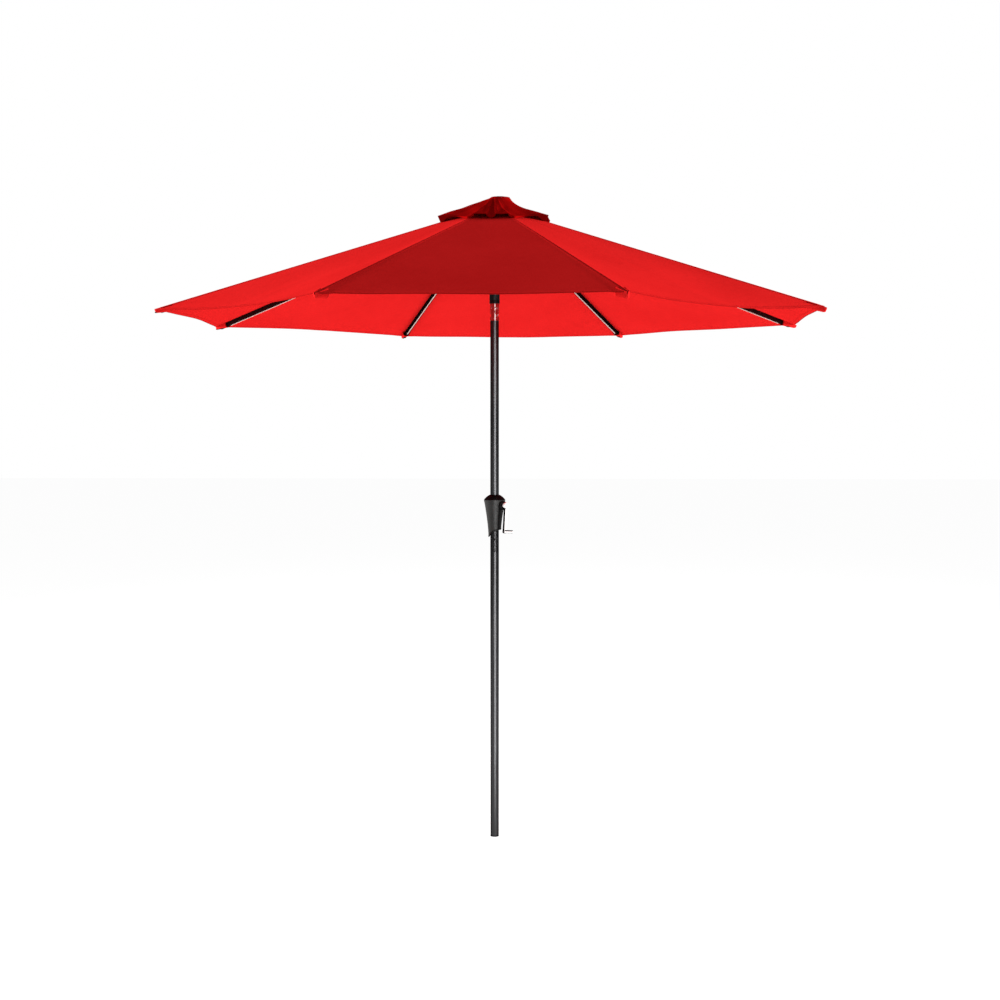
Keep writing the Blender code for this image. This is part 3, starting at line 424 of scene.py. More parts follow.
def cloth_sheet(name, grid, thickness, material, grain, seam_along=None, seam_across=None, hem=None,
                painted_shade=None):
    """A closed sheet around a grid of mid-surface points, with the cloth material's measures stored on it."""
    rows, columns, _ = grid.shape
    du = np.gradient(grid, axis=0)
    dv = np.gradient(grid, axis=1)
    normal = np.cross(du, dv)
    normal /= np.linalg.norm(normal, axis=2, keepdims=True)
    if normal[..., 2].mean() < 0:
        normal = -normal
    half = normal * thickness[..., None] / 2
    points = np.concatenate([(grid + half).reshape(-1, 3), (grid - half).reshape(-1, 3)])
    index = np.arange(rows * columns).reshape(rows, columns)
    top = [(index[i, j], index[i, j + 1], index[i + 1, j + 1], index[i + 1, j])
           for i in range(rows - 1) for j in range(columns - 1)]
    low = rows * columns
    faces = top + [tuple(low + v for v in reversed(f)) for f in top]
    ring = list(index[0, :]) + list(index[1:, -1]) + list(index[-1, -2::-1]) + list(index[-2:0:-1, 0])
    faces += [(b, a, a + low, b + low) for a, b in zip(ring, ring[1:] + ring[:1])]
    mesh = bpy.data.meshes.new(name)
    mesh.from_pydata(points.tolist(), [], [tuple(int(v) for v in f) for f in faces])
    mesh.validate()
    bm = bmesh.new()
    bm.from_mesh(mesh)
    bmesh.ops.recalc_face_normals(bm, faces=bm.faces)
    bm.to_mesh(mesh)
    bm.free()
    mesh.shade_smooth()
    mesh.set_sharp_from_angle(angle=math.radians(60))
    layer = mesh.uv_layers.new(name="grain")
    both = np.concatenate([grain.reshape(-1, 2)] * 2)
    corner = np.empty(len(mesh.loops), int)
    mesh.loops.foreach_get("vertex_index", corner)
    layer.data.foreach_set("uv", both[corner].astype(np.float32).ravel())
    far = np.full(grid.shape[:2], FAR_AWAY)
    # painted shade: stored per point, 0 where the cloth is not darkened
    unshaded = np.zeros(grid.shape[:2])
    for key, values, absent in (("seam_along", seam_along, far), ("seam_across", seam_across, far),
                                ("hem_distance", hem, far), ("painted_shade", painted_shade, unshaded)):
        attribute = mesh.attributes.new(key, "FLOAT", "POINT")
        values = absent if values is None else values
        attribute.data.foreach_set("value", np.concatenate([values.ravel()] * 2).astype(np.float32))
    return link(name, mesh, material)


# ---------------------------------------------------------------- main canopy
def cloth_height(radius):
    """Mid-surface of the cloth over a rib, at that plan radius."""
    return (HUB_HEIGHT + CLOTH_RISE / math.cos(RIB_SLOPE) + 0.0008
            - (radius - PIVOT_RADIUS) * math.tan(RIB_SLOPE))


def ripple(x, y):
    """Slow, shallow waves in the stretched cloth."""
    return (0.0016 * np.sin(7.1 * x + 3.2 * y + 0.6) + 0.0012 * np.sin(-4.3 * x + 9.7 * y + 2.1)
            + 0.0009 * np.sin(13.0 * x - 5.0 * y + 4.0))


def across_stations():
    """Places across a half panel: the first few are metres from the seam, the rest shares of what is left."""
    near_seam = [0.0, 0.0022, 0.0042, 0.0062, 0.0074, 0.0110, 0.0180]
    shares = [(i / 18) ** 1.15 for i in range(1, 19)]
    return near_seam, shares


def panel_point(k, side, share, along):
    """A point of the half panel beside rib k, and its place in the flat cloth.

    Share is 0 on the rib and 1 in the middle of the panel; along is 0 at the opening and 1 at the hem.
    """
    panel = panel_of(k, side)
    here, beside = compass(k), compass(k) - side * 2 * HALF_SECTOR
    full = TIP_RADIUS - HEM_INSET[panel] * (1 - (1 - share) ** 2)
    reach = OPENING_RADIUS + (full - OPENING_RADIUS) * along
    half = share / 2
    x = reach * ((1 - half) * math.cos(here) + half * math.cos(beside))
    y = reach * ((1 - half) * math.sin(here) + half * math.sin(beside))
    hang = 1 - (1 - share) ** 2.4
    z = cloth_height(reach) - HEM_SAG[panel] * along ** 2.2 * hang
    z -= 0.005 * math.sin(math.pi * along) * hang
    z += ripple(x, y) * hang * min(1, 3 * (1 - share) + 0.6)
    crease = 0.0045 if panel == "near" else 0.001125
    z -= crease * along ** 3 * math.exp(-((share - 0.05) / 0.03) ** 2)
    middle = (here + beside) / 2
    out = x * math.cos(middle) + y * math.sin(middle)
    side_way = x * math.sin(middle) - y * math.cos(middle)
    return (x, y, z), (side_way, out / math.cos(RIB_SLOPE))


def along_stations():
    """Rows from the opening to the hem, closer together at the hem's own edges."""
    full = TIP_RADIUS - OPENING_RADIUS
    from_edge = (HEM_WIDTH + 0.006, HEM_WIDTH + 0.0012, HEM_WIDTH, HEM_WIDTH * 0.5, 0.0016, 0.0)
    hem = [1 - d / full for d in from_edge]
    return [i / 40 * hem[0] for i in range(40)] + hem


def make_gore(k, material):
    """The cloth of rib k, out to the middles of the two panels beside it."""
    near_seam, shares = across_stations()
    rows, grain, along, across, hem, thickness, painted_shade = [], [], [], [], [], [], []
    for station in along_stations():
        radius = OPENING_RADIUS + (TIP_RADIUS - OPENING_RADIUS) * station
        half_chord = radius * math.sin(HALF_SECTOR)
        offsets = [min(d, 0.35 * half_chord * (i + 1) / len(near_seam)) for i, d in enumerate(near_seam)]
        line = [d / half_chord for d in offsets]
        line += [line[-1] + (1 - line[-1]) * s for s in shares]
        points = [(-1, s) for s in reversed(line[1:])] + [(1, s) for s in line]
        made = [panel_point(k, side, share, station) for side, share in points]
        rows.append([p for p, _ in made])
        grain.append([g for _, g in made])
        from_seam = [side * share * half_chord for side, share in points]
        from_hem = (1 - station) * (TIP_RADIUS - OPENING_RADIUS)
        along.append([(radius - OPENING_RADIUS) / math.cos(RIB_SLOPE)] * len(points))
        across.append(from_seam)
        hem.append([from_hem] * len(points))
        # painted shade beside the near panel's seams
        painted_shade.append([painted_seam_shade(k, side, d, station) for (side, _), d in zip(points, from_seam)])
        thickness.append([HEM_CLOTH if from_hem <= HEM_WIDTH + 1e-6 else
                          SEAM_CLOTH if abs(d) <= SEAM_HALF + 1e-6 else CLOTH for d in from_seam])
    arrays = [np.array(a, float) for a in (rows, thickness, grain, along, across, hem, painted_shade)]
    gore = cloth_sheet(f"canopy_gore_{k}", arrays[0], arrays[1], material, arrays[2], *arrays[3:])
    close_with_rib(gore, k)
    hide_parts(f"canopy_panel_{k}")
    return gore


def painted_seam_shade(k, side, from_seam, station):
    """How much painted shade darkens the cloth beside the near panel's two seams, wider towards the corners."""
    if panel_of(k, side) != "near":
        return 0.0
    reach = 0.004 + (0.026 if side < 0 else 0.014) * max(0.0, station - 0.35) ** 1.5
    off = (abs(from_seam) - 0.004) / reach
    if off <= -1:
        return 0.0
    return 0.62 * min(1.0, 2.2 * station) * math.exp(-max(0.0, off) ** 2 * 1.6)


def close_with_rib(piece, k):
    """The cloth rides on its rib, with a mesh of its own."""
    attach(piece, f"rib_{k}")
    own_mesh(piece)


def make_pocket(k, material):
    """The sewn pocket of the rib's end cap, under the canopy's corner; the front ones hang deeper."""
    _, outward, tangent = rib_axis(k)
    sections, sides = 14, 16
    rows, grain = [], []
    front = max(0.0, -math.sin(compass(k)))
    heel = 0.013 * front ** 2
    toe = 0.010 * front * (1 + math.cos(compass(k)))
    past_corner = 0.003 + 0.005 * math.cos(compass(k))
    for i in range(sections + 1):
        t = i / sections
        radius = TIP_RADIUS - POCKET_LENGTH * (1 - t) + past_corner * t
        top = cloth_height(radius) - 0.0012
        nose = math.sqrt(max(0.0, 1 - max(0.0, (t - 0.80) / 0.20) ** 2))
        half = (0.0165 - 0.0085 * t) * (0.25 + 0.75 * nose)
        depth = (0.0232 - 0.0105 * t + heel * (1 - t) + toe * t) * (0.30 + 0.70 * nose)
        row = []
        for j in range(sides + 1):
            a = math.pi * j / sides
            bulge = math.copysign(abs(math.cos(a)) ** 0.6, math.cos(a))
            point = outward * radius + tangent * (half * bulge)
            point.z = top - depth * math.sin(a) ** 0.7
            row.append(tuple(point))
        rows.append(row)
        grain.append([(j * 0.004, i * 0.005) for j in range(sides + 1)])
    shape = np.array(rows, float)
    edge = np.array([[POCKET_LENGTH * i / sections] * (sides + 1) for i in range(sections + 1)])
    pocket = cloth_sheet(f"tip_pocket_{k}", shape, np.full(shape.shape[:2], POCKET_CLOTH), material,
                         np.array(grain), hem=edge)
    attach(pocket, f"rib_{k}")
    return pocket


# ---------------------------------------------------------------- vent
VENT_TOP = 2.5400
VENT_CORNER = 0.2345             # radius of the vent's corners
VENT_EDGE_HEIGHT = 2.4600
CROWN_SHARE, RING_SHARE = 0.10, 0.34


def turn_from_near(angle):
    """The angle from the middle of the near panel, between minus and plus half a turn."""
    return (angle + math.pi / 2 + math.pi) % (2 * math.pi) - math.pi


def touches(angle):
    """1 where the vent's edge is held down on the canopy, 0 in the middle of an arch."""
    turn = turn_from_near(angle)
    if abs(turn) < HALF_SECTOR:
        return max(0.0, math.cos(16 * (turn - HALF_SECTOR))) ** 1.2
    return (0.5 + 0.5 * math.cos(8 * (turn - HALF_SECTOR))) ** 2.2


def ease(value, low, high):
    """0 up to low, 1 from high on, and a smooth step between."""
    t = min(1.0, max(0.0, (value - low) / (high - low)))
    return t * t * (3 - 2 * t)


def vent_point(angle, share, drop):
    """A point of the vent: share runs from the middle to the edge, then drop from 0 to 1 down the skirt."""
    flat = 0.036 + 0.026 * math.cos(angle)
    nearest = round((angle - compass(1)) / (2 * HALF_SECTOR)) * 2 * HALF_SECTOR + compass(1)
    off = abs(angle - nearest)
    facet = math.cos(HALF_SECTOR - off) / math.cos(HALF_SECTOR)
    edge = VENT_CORNER / facet - 0.006 * (1 - (1 - off / HALF_SECTOR) ** 2)
    held, turn = touches(angle), turn_from_near(angle)
    front = ease(math.cos(turn), 0.35, 0.92)
    lift = 0.006 + 0.008 * ease(math.cos(turn), 0.90, 0.95)
    edge_height = VENT_EDGE_HEIGHT - 0.019 * front + lift * (1 - held)
    radius = edge * share
    z = VENT_TOP
    if radius > flat:
        power = 0.78 - 0.22 * math.cos(angle)
        z -= (VENT_TOP - edge_height) * ((radius - flat) / (edge - flat)) ** power
    slack = ease(share, 0.30, 0.62)
    fold = math.exp(-((turn * radius - 0.004) / 0.016) ** 2) * math.sin(math.pi * min(1, share)) ** 0.8
    valley = math.exp(-((turn * radius + 0.030) / 0.014) ** 2)
    valley += math.exp(-((turn * radius - 0.041) / 0.015) ** 2)
    z += slack * (0.0065 * fold - 0.0035 * valley * math.sin(math.pi * min(1, share * 0.85)))
    z -= 0.003 * slack * math.sin(math.pi * share) * (1 - math.cos(math.pi * off / HALF_SECTOR)) / 2
    x, y = radius * math.cos(angle), radius * math.sin(angle)
    z += 0.0014 * slack * math.sin(55 * x + 20 * y) * math.sin(math.pi * min(1, share * 0.9))
    if drop:
        room = edge_height - cloth_height(edge * facet) - 0.002
        fall = (0.0035 + (room - 0.0035) * held) * drop
        radius -= 0.45 * fall
        x, y = radius * math.cos(angle), radius * math.sin(angle)
        z -= fall
    return x, y, z


def vent_piece(name, angles, shares, drops, material):
    """A part of the vent; one with drops has a skirt, with painted shade away from the front, and a hem."""
    rows = [[vent_point(a, s, 0) for a in angles] for s in shares]
    rows += [[vent_point(a, 1.0, d) for a in angles] for d in drops]
    shape = np.array(rows, float)
    hem = np.full(shape.shape[:2], FAR_AWAY)
    painted_shade = np.zeros(shape.shape[:2])
    if drops:
        # painted shade on the skirt and the row above it, growing away from the front
        painted_shade[-len(drops) - 1:] = [0.9 * ease(abs(turn_from_near(a)), 0.45, 0.75) for a in angles]
        for i in range(len(rows)):
            hem[i, :] = (len(rows) - 1 - i) * 0.0045
    return cloth_sheet(name, shape, np.full(shape.shape[:2], VENT_CLOTH), material, shape[..., :2], hem=hem,
                       painted_shade=painted_shade)


def make_vent(material):
    """A crown over the hub, a ring in eight parts by the ribs, and petals that gather as the ribs close."""
    circle = [2 * math.pi * i / 96 for i in range(97)]
    first = 0.004 / VENT_CORNER
    crown_rows = [first + (CROWN_SHARE + 0.14 - first) * i / 10 for i in range(11)]
    crown = vent_piece("vent_crown", circle, crown_rows, [], material)
    crown.data.transform(Matrix.Translation((0, 0, 0.0006)))
    put(crown, "upper_pole", slot="canopy_cloth")
    for k in RIBS:
        angles = [compass(k) + HALF_SECTOR * i / 12 for i in range(-12, 13)]
        ring_rows = [CROWN_SHARE + 0.10 + (RING_SHARE + 0.02 - CROWN_SHARE - 0.10) * i / 8 for i in range(9)]
        ring = vent_piece(f"vent_ring_{k}", angles, ring_rows, [], material)
        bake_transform(ring)
        rows = [RING_SHARE + (1 - RING_SHARE) * i / 16 for i in range(17)]
        petal = vent_piece(f"vent_petal_{k}", angles, rows, [0.12, 0.35, 0.6, 0.82, 1.0], material)
        close_with_rib(petal, k)
        if k == 1:
            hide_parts("vent_canopy")


# ---------------------------------------------------------------- frame pieces
def make_ribs(materials):
    """Each rib with its end cap, its strut and its pale strip."""
    for k in RIBS:
        refined(f"rib_{k}", materials["rib"], f"rib_{k}", long_bevel=0.0020)
        refined(f"rib_cap_{k}", materials["dark"], f"rib_{k}")
        refined(f"strut_{k}", materials["rib"], f"strut_{k}", long_bevel=0.0018)
        make_strip(k, materials["strip"])


def make_strip(k, material):
    """The pale half-round strip along the underside of a rib, with rounded ends."""
    pivot, outward, tangent = rib_axis(k)
    start, end = 0.475, RIB_LENGTH - POCKET_LENGTH - 0.014
    half, depth = 0.0021, 0.0026
    lean = outward * math.cos(RIB_SLOPE) - Vector((0, 0, math.sin(RIB_SLOPE)))
    down = -(outward * math.sin(RIB_SLOPE) + Vector((0, 0, math.cos(RIB_SLOPE))))
    rings, sides = [], 14
    ends = [(0.0, 0.30), (0.0012, 0.72), (0.0030, 0.94), (0.0052, 1.0)]
    stations = [(start + d, s) for d, s in ends] + [(end - d, s) for d, s in reversed(ends)]
    for at, size in stations:
        centre = pivot + lean * at + down * (RIB_HALF_HEIGHT + 0.0001)
        ring = []
        for j in range(sides + 1):
            a = math.pi * j / sides
            across = tangent * (half * size * math.cos(a))
            ring.append(centre + across + down * (depth * size * math.sin(a)))
        rings.append(ring)
    bm = bmesh.new()
    loops = skin(bm, rings)
    bm.faces.new(loops[0])
    bm.faces.new(list(reversed(loops[-1])))
    strip = from_bmesh(f"rib_strip_{k}", bm, material, 50)
    put(strip, f"rib_{k}", slot="nylon")


def make_poles(materials):
    """The three tubes with rounded rims, and the plug in the foot."""
    for node, body in (("lower_pole", "pole"), ("middle_pole", "pole"), ("upper_pole", "upper_pole")):
        low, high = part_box(node)
        outside, inside = high.x, high.x - POLE_WALL
        outline = [(outside, low.z), (outside, high.z), (inside, high.z), (inside, low.z)]
        tube = turned(f"{node}_tube", rounded(outline, 0.0006, 3), materials["steel"], segments=96, angle=50)
        put(tube, body, node, slot="black_steel")
    refined("foot_plug", materials["dark"], "pole", bevel=0.0008)


def make_frame_details(materials):
    """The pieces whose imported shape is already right: eased edges, smooth rounds and a finish each."""
    finishes = {"plastic": ("top_hub", "cap_nut", "crank_bush", "cord_pulley", "cord_spool"),
                "spring": ("hub_wire", "runner_wire", "pulley_pin", "brake_spring", "crank_shaft",
                           "tilt_pin", "tilt_spring", "snap_spring"),
                "dark": ("runner", "snap_button"),
                "tilt": ("tilt_base", "tilt_knuckle", "tilt_button")}
    bodies = {n: b for b, members in frame["record"]["behaviour"]["bodies"].items() for n in members}
    eased = {"spring": 0.0, "plastic": 0.0005, "dark": 0.0004, "tilt": 0.0006}
    for finish, nodes in finishes.items():
        for node in nodes:
            refined(node, materials[finish], bodies[node], bevel=eased[finish])


def housing_radius(height, low):
    """The skirt's outer radius at that height; low is the housing's foot."""
    return HOUSING_FOOT_RADIUS + HOUSING_FLARE * max(0.0, (height - low) / (HOUSING_RIM - low)) ** 1.52


def lip_height(x, low):
    """The height of the skirt's lower edge, which sweeps up from left to right."""
    across = min(1, max(0, 0.5 + x / (2 * HOUSING_FOOT_RADIUS)))
    return low + 0.0290 * (1 - (1 - across) ** 2.3)


def in_side_panel(angle, height, margin=0.0):
    """Whether a place on the skirt is in the recessed panel below the crank's boss."""
    turn = abs((angle - CRANK_SIDE + math.pi) % (2 * math.pi) - math.pi)
    return turn < math.radians(23) + margin and height < HOUSING_RIM - 0.008


def make_housing(materials):
    """The flared skirt with its swept lip, side panel and inside painted darker as shade, the shaft's boss and the
    dome.
    """
    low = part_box("crank_housing")[0].z
    segments, rows, wall = 144, 40, 0.0022
    outer, inner = [], []
    for row in range(rows + 1):
        share = row / rows
        ring_out, ring_in = [], []
        for i in range(segments):
            angle = 2 * math.pi * i / segments
            bottom = lip_height(HOUSING_FOOT_RADIUS * math.cos(angle), low)
            height = bottom + (HOUSING_RIM - bottom) * share
            radius = housing_radius(height, low)
            outside = radius + 0.0011 * math.exp(-((height - bottom - 0.004) / 0.0035) ** 2)
            outside += 0.0008 * math.exp(-((HOUSING_RIM - height - 0.002) / 0.002) ** 2)
            outside -= 0.0006 * math.exp(-((height - bottom) / 0.0008) ** 2)
            outside -= 0.0009 if in_side_panel(angle, height) else 0.0
            ring_out.append((outside * math.cos(angle), outside * math.sin(angle), height))
            ring_in.append(((radius - wall) * math.cos(angle), (radius - wall) * math.sin(angle), height))
        outer.append(ring_out)
        inner.append(ring_in)
    bm = bmesh.new()
    outer_loops = skin(bm, outer)
    inner_loops = skin(bm, inner)
    for a, b in ((outer_loops[0], inner_loops[0]), (outer_loops[-1], inner_loops[-1])):
        for i in range(segments):
            j = (i + 1) % segments
            bm.faces.new((a[i], a[j], b[j], b[i]))
    shell = from_bmesh("crank_housing_shell", bm, materials["plastic"], 40)
    shell.data.materials.append(materials["dark"])
    # painted shade: the inside of the skirt, a band along its lip and the side panel get the near-black plastic
    for face in shell.data.polygons:
        x, y, height = face.center
        angle = math.atan2(y, x)
        above_lip = height - lip_height(HOUSING_FOOT_RADIUS * math.cos(angle), low)
        inside = math.hypot(x, y) < housing_radius(height, low) - wall / 2
        if inside or above_lip < 0.0052 or in_side_panel(angle, height, 0.02):
            face.material_index = 1
    put(shell, "pole", "crank_housing", slot="black_plastic")

    boss = [(0.0053, 0.0310), (0.0180, 0.0310), (0.0180, BOSS_FACE - 0.0014), (0.0168, BOSS_FACE),
            (0.0150, BOSS_FACE), (0.0144, BOSS_FACE - 0.0012), (0.0053, BOSS_FACE - 0.0012)]
    boss = turned("crank_boss", rounded(boss, 0.0006, 3), materials["dark"], (0, 0, CRANK_HEIGHT), "X")
    put(facing_crank(boss), "pole", slot="black_plastic")
    web = turned("housing_web", [(0.0173, 1.292), (0.0300, 1.292), (0.0300, 1.296), (0.0173, 1.296)],
                 materials["plastic"], segments=64)
    put(web, "pole", slot="black_plastic")

    dome_low, dome_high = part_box("housing_dome")
    reach, rise = dome_high.x - DOME_NECK, dome_high.z - dome_low.z
    turns = [86 * i / 24 for i in range(25)]
    outline = [dome_place(reach, dome_low.z, rise, degrees) for degrees in turns]
    outline += [(0.0173, dome_high.z), (0.0173, dome_high.z - 0.0026)]
    outline += [dome_place(reach - 0.0026, dome_low.z, rise - 0.0024, degrees) for degrees in reversed(turns)]
    put(turned("housing_dome_fine", outline, materials["dome"], angle=50), "pole", "housing_dome",
        slot="dome_plastic")


def dome_place(reach, low, rise, degrees):
    """A place on the dome's outline, a shallow cone with a swelling side."""
    swell, a = 2 / 1.3, math.radians(degrees)
    return DOME_NECK + reach * math.cos(a) ** swell, low + rise * math.sin(a) ** swell


def facing_crank(obj):
    """Turns a piece that was made along +X to the crank's own direction."""
    obj.data.transform(Matrix.Rotation(CRANK_SIDE, 4, "Z"))
    return obj


def lever(name, thickness, offset, trim, material):
    """One layer of the leaning crank arm, from its hub down to its foot, with rounded edges."""
    rings, sides = [], 24
    for i in range(21):
        share = i / 20
        down = 0.0085 + (ARM_LENGTH - 0.0085) * share
        middle = ARM_INNER + offset + thickness / 2 - down * ARM_LEAN
        half_y = 0.0083 - 0.0013 * share - trim
        rings.append([(middle + thickness / 2 * math.copysign(abs(math.cos(a)) ** 0.16, math.cos(a)),
                       half_y * math.copysign(abs(math.sin(a)) ** 0.30, math.sin(a)), CRANK_HEIGHT - down)
                      for a in (2 * math.pi * j / sides for j in range(sides))])
    bm = bmesh.new()
    loops = skin(bm, rings)
    bm.faces.new(loops[0])
    bm.faces.new(list(reversed(loops[-1])))
    return from_bmesh(name, bm, material, 50)


def make_crank(materials):
    """The crank: a bright hub, a black arm with a thin bright cover on its outer face, the black being painted
    shade, the grip's pin and the grip, with painted shade in black bands.
    """
    chrome, black = materials["chrome"], materials["dark"]
    low, foot = BOSS_FACE + 0.0004, CRANK_HEIGHT - ARM_LENGTH
    hub = [(0.0053, low), (0.0098, low), (0.0102, low + 0.0050), (0.0127, low + 0.0070),
           (0.0127, low + 0.0146), (0.0118, low + 0.0162), (0.0090, low + 0.0176), (0.0050, low + 0.0185),
           (0.0, low + 0.0188), (0.0, low + 0.0130), (0.0053, low + 0.0130)]
    hub = turned("crank_hub", rounded(hub, 0.0015, 5), chrome, (0, 0, CRANK_HEIGHT), "X")
    put(facing_crank(hub), "crank", "crank_arm", slot="chrome")

    cover = 0.0006
    # painted shade: the arm's body and its foot are black, with the bright cover only on their outer face
    arm = lever("crank_lever", ARM_THICKNESS - 0.0003, 0.0, 0.0, black)
    put(facing_crank(arm), "crank", slot="black_plastic")
    plate = lever("crank_cover", cover, ARM_THICKNESS - cover, 0.0011, chrome)
    put(facing_crank(plate), "crank", slot="chrome")
    inner = ARM_INNER - ARM_LENGTH * ARM_LEAN
    split, outer = inner + ARM_THICKNESS - cover, inner + ARM_THICKNESS
    for name, radius, start, end, material in (("crank_foot", 0.0073, inner, split, black),
                                               ("crank_foot_cover", 0.0062, split, outer, chrome)):
        disc = rounded([(0.0, start), (radius, start), (radius, end), (0.0, end)], 0.0008)
        disc = turned(name, disc, material, (0, 0, foot), "X")
        put(facing_crank(disc), "crank", slot="black_plastic" if material is black else "chrome")
    pin = [(0.0, inner + 0.003), (0.0030, inner + 0.003), (0.0030, GRIP_END - 0.0012),
           (0.0024, GRIP_END - 0.0007), (0.0, GRIP_END - 0.0007)]
    put(facing_crank(turned("grip_pin", pin, chrome, (0, 0, foot), "X", 32)), "crank", slot="chrome")

    start = outer + 0.0009
    outline = [(0.0034, start), (0.0052, start), (0.0060, start + 0.0012)]
    for i in range(3):
        at = start + 0.0030 + 0.0036 * i
        outline += [(0.0060, at), (0.0055, at + 0.0010), (0.0055, at + 0.0016), (0.0060, at + 0.0026)]
    outline += [(0.0060, GRIP_END - 0.0080), (0.0063, GRIP_END - 0.0030), (0.0061, GRIP_END - 0.0012),
                (0.0053, GRIP_END), (0.0034, GRIP_END)]
    grip = turned("crank_grip_fine", outline, chrome, (0, 0, foot), "X", 48)
    # painted shade: black bands along the grip's top and a narrow one along its bottom
    grip.data.materials.append(black)
    for face in grip.data.polygons:
        up = (face.center.z - foot) / 0.006
        if up > 0.30 or up < -0.78:
            face.material_index = 1
    put(facing_crank(grip), "crank_grip", "crank_grip", slot="chrome")


def make_cord(materials):
    """The lift cord from the spool over the pulley to the runner, in two pieces parted at the tilt axis."""
    x = -0.0065
    wheel = Vector(next(j for j in JOINTS if j["name"] == "pulley_turn")["pos_m"])
    pitch, pulley, hub = wheel.y, wheel.z, HUB_HEIGHT
    runner_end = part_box("runner")[1].z
    inward, sideways = -0.0040, 0.0107      # where the cord leaves the spool, seen along the crank's shaft
    off_x = inward * math.cos(CRANK_SIDE) - sideways * math.sin(CRANK_SIDE)
    off_y = inward * math.sin(CRANK_SIDE) + sideways * math.cos(CRANK_SIDE)
    lower = [(off_x, off_y, CRANK_HEIGHT), (off_x, off_y, CRANK_HEIGHT + 0.010),
             (0.0008, 0.0092, CRANK_HEIGHT + 0.030), (-0.0026, 0.0052, CRANK_HEIGHT + 0.060),
             (-0.0056, 0.0016, CRANK_HEIGHT + 0.090), (x, 0, CRANK_HEIGHT + 0.130), (x, 0, TILT.z)]
    upper = [(x, 0, TILT.z), (x, 0, hub - 0.190), (x * 0.9, 0, hub - 0.130), (x * 0.5, 0, hub - 0.070),
             (x * 0.1, 0, hub - 0.020), (0, 0, hub + 0.010)]
    upper += [(0, pitch * (1 - math.cos(math.pi * i / 12)), pulley + pitch * math.sin(math.pi * i / 12))
              for i in range(13)]
    upper += [(0, 2 * pitch, hub + 0.010), (0, 2 * pitch, hub - 0.090), (0, 2 * pitch, runner_end)]
    for name, route, body in (("lift_cord_lower", lower, "pole"), ("lift_cord_upper", upper, "upper_pole")):
        curve = bpy.data.curves.new(name, "CURVE")
        curve.dimensions = "3D"
        curve.bevel_depth, curve.bevel_resolution = 0.0015, 3
        curve.use_fill_caps = True
        spline = curve.splines.new("POLY")
        spline.points.add(len(route) - 1)
        for point, place in zip(spline.points, route):
            point.co = (*place, 1)
        curve.materials.append(materials["cord"])
        obj = bpy.data.objects.new(name, curve)
        bpy.context.scene.collection.objects.link(obj)
        put(obj, body, slot="cord")
        if body == "pole":
            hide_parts("lift_cord")


# ---------------------------------------------------------------- studio
FLOOR_GLOW = 0.78
AMBIENT, GLOSS_AMBIENT = 0.49, 0.16


def make_floor():
    """A plain pale floor just under the foot, glowing a little so that it stays even far from the lamps."""
    bm = bmesh.new()
    bmesh.ops.create_grid(bm, x_segments=8, y_segments=8, size=60)
    bm.transform(Matrix.Translation((0, 0, -0.0004)))
    mesh = bpy.data.meshes.new("floor")
    bm.to_mesh(mesh)
    bm.free()
    s = Shader("pale_floor", (0.40, 0.40, 0.40), 0.9, Specular_IOR_Level=0.0,
               Emission_Color=(1, 1, 1, 1), Emission_Strength=FLOOR_GLOW)
    link("floor", mesh, s.material)


def soft_box(name, place, target, size, power, sees):
    """An area lamp that lights either the diffuse or the glossy part of a surface."""
    data = bpy.data.lights.new(name, "AREA")
    data.shape, data.size, data.size_y = "RECTANGLE", *size
    data.energy = power
    lamp = bpy.data.objects.new(name, data)
    lamp.location = place
    lamp.rotation_euler = (Vector(target) - Vector(place)).to_track_quat("-Z", "Y").to_euler()
    lamp.visible_camera = False
    lamp.visible_diffuse = sees == "diffuse"
    lamp.visible_glossy = sees == "glossy"
    bpy.context.scene.collection.objects.link(lamp)


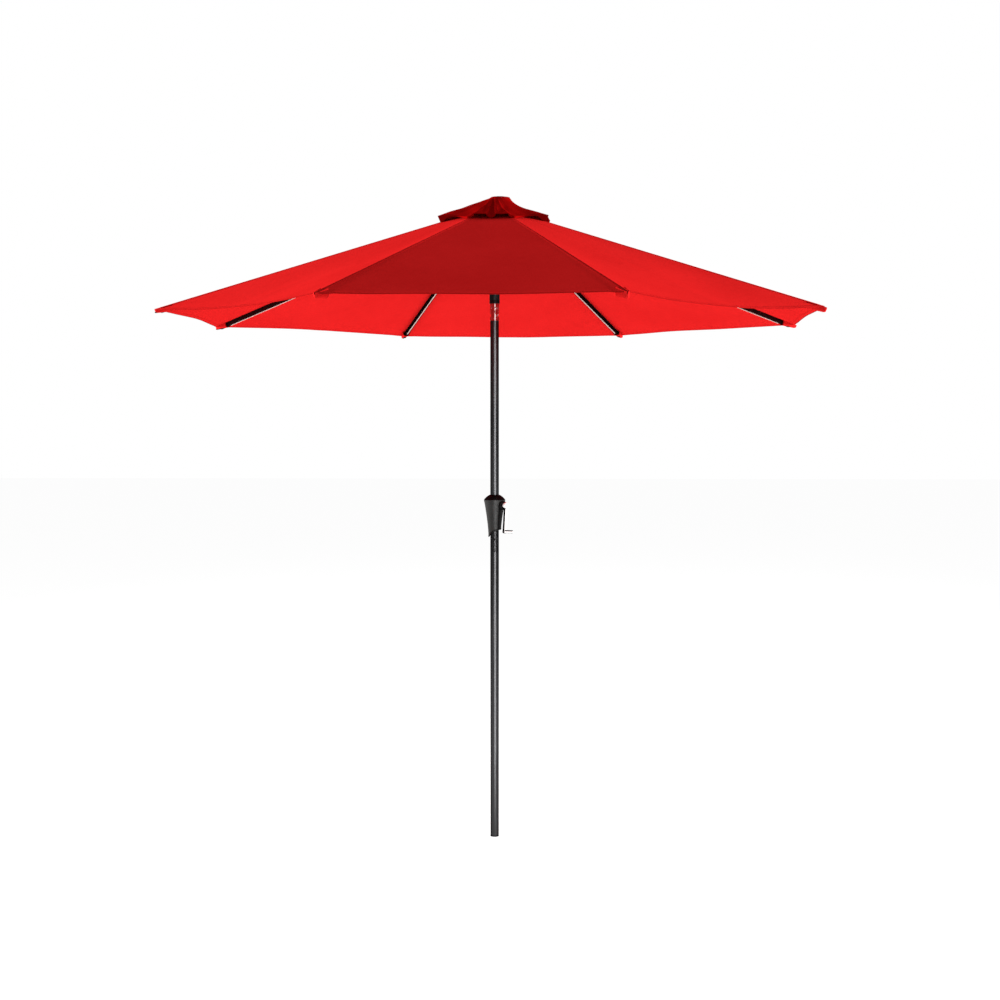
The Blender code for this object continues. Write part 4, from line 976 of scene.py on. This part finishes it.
def make_studio():
    """A white surround, dimmer as light and dimmest in reflections, with two side lamps and a tall strip."""
    world = bpy.data.worlds.new("studio")
    bpy.context.scene.world = world
    world.use_nodes = True
    tree = world.node_tree
    path = tree.nodes.new("ShaderNodeLightPath")
    shade = tree.nodes["Background"]
    level = AMBIENT
    for ray, strength in (("Is Glossy Ray", GLOSS_AMBIENT), ("Is Camera Ray", 1.0)):
        mix = tree.nodes.new("ShaderNodeMix")
        tree.links.new(path.outputs[ray], mix.inputs[0])
        if isinstance(level, float):
            mix.inputs[2].default_value = level
        else:
            tree.links.new(level, mix.inputs[2])
        mix.inputs[3].default_value = strength
        level = mix.outputs[0]
    tree.links.new(level, shade.inputs["Strength"])
    shade.inputs["Color"].default_value = (1, 1, 1, 1)
    soft_box("side_left", (-6.0, 0.6, 2.8), (0, 0, 2.1), (2.6, 1.6), 1080, "diffuse")
    soft_box("side_right", (6.0, 0.6, 2.8), (0, 0, 2.1), (2.6, 1.6), 1000, "diffuse")
    soft_box("front_strip", (0.205, -0.669, 1.1), (0, 0, 1.1), (0.32, 2.2), 42, "glossy")


def make_camera():
    """A 63 mm lens 6.95 m from the pole at standing height, 3.7 degrees to the right of the front."""
    distance, height = 6.95, 1.596
    azimuth, pitch, swing = math.radians(3.7), math.radians(2.062), math.radians(0.177)
    data = bpy.data.cameras.new("camera")
    data.lens, data.sensor_width = 62.98, 36
    camera = bpy.data.objects.new("camera", data)
    camera.location = (distance * math.sin(azimuth), -distance * math.cos(azimuth), height)
    camera.rotation_euler = (math.pi / 2 - pitch, 0, azimuth - swing)
    bpy.context.scene.collection.objects.link(camera)
    bpy.context.scene.camera = camera
    bpy.context.scene.view_settings.view_transform = "Standard"


def main():
    materials = make_materials()
    for k in RIBS:
        make_gore(k, materials["canopy"])
        make_pocket(k, materials["canopy"])
    make_vent(materials["vent"])
    make_ribs(materials)
    make_poles(materials)
    make_housing(materials)
    make_crank(materials)
    make_cord(materials)
    make_frame_details(materials)
    make_floor()
    make_studio()
    make_camera()


main()
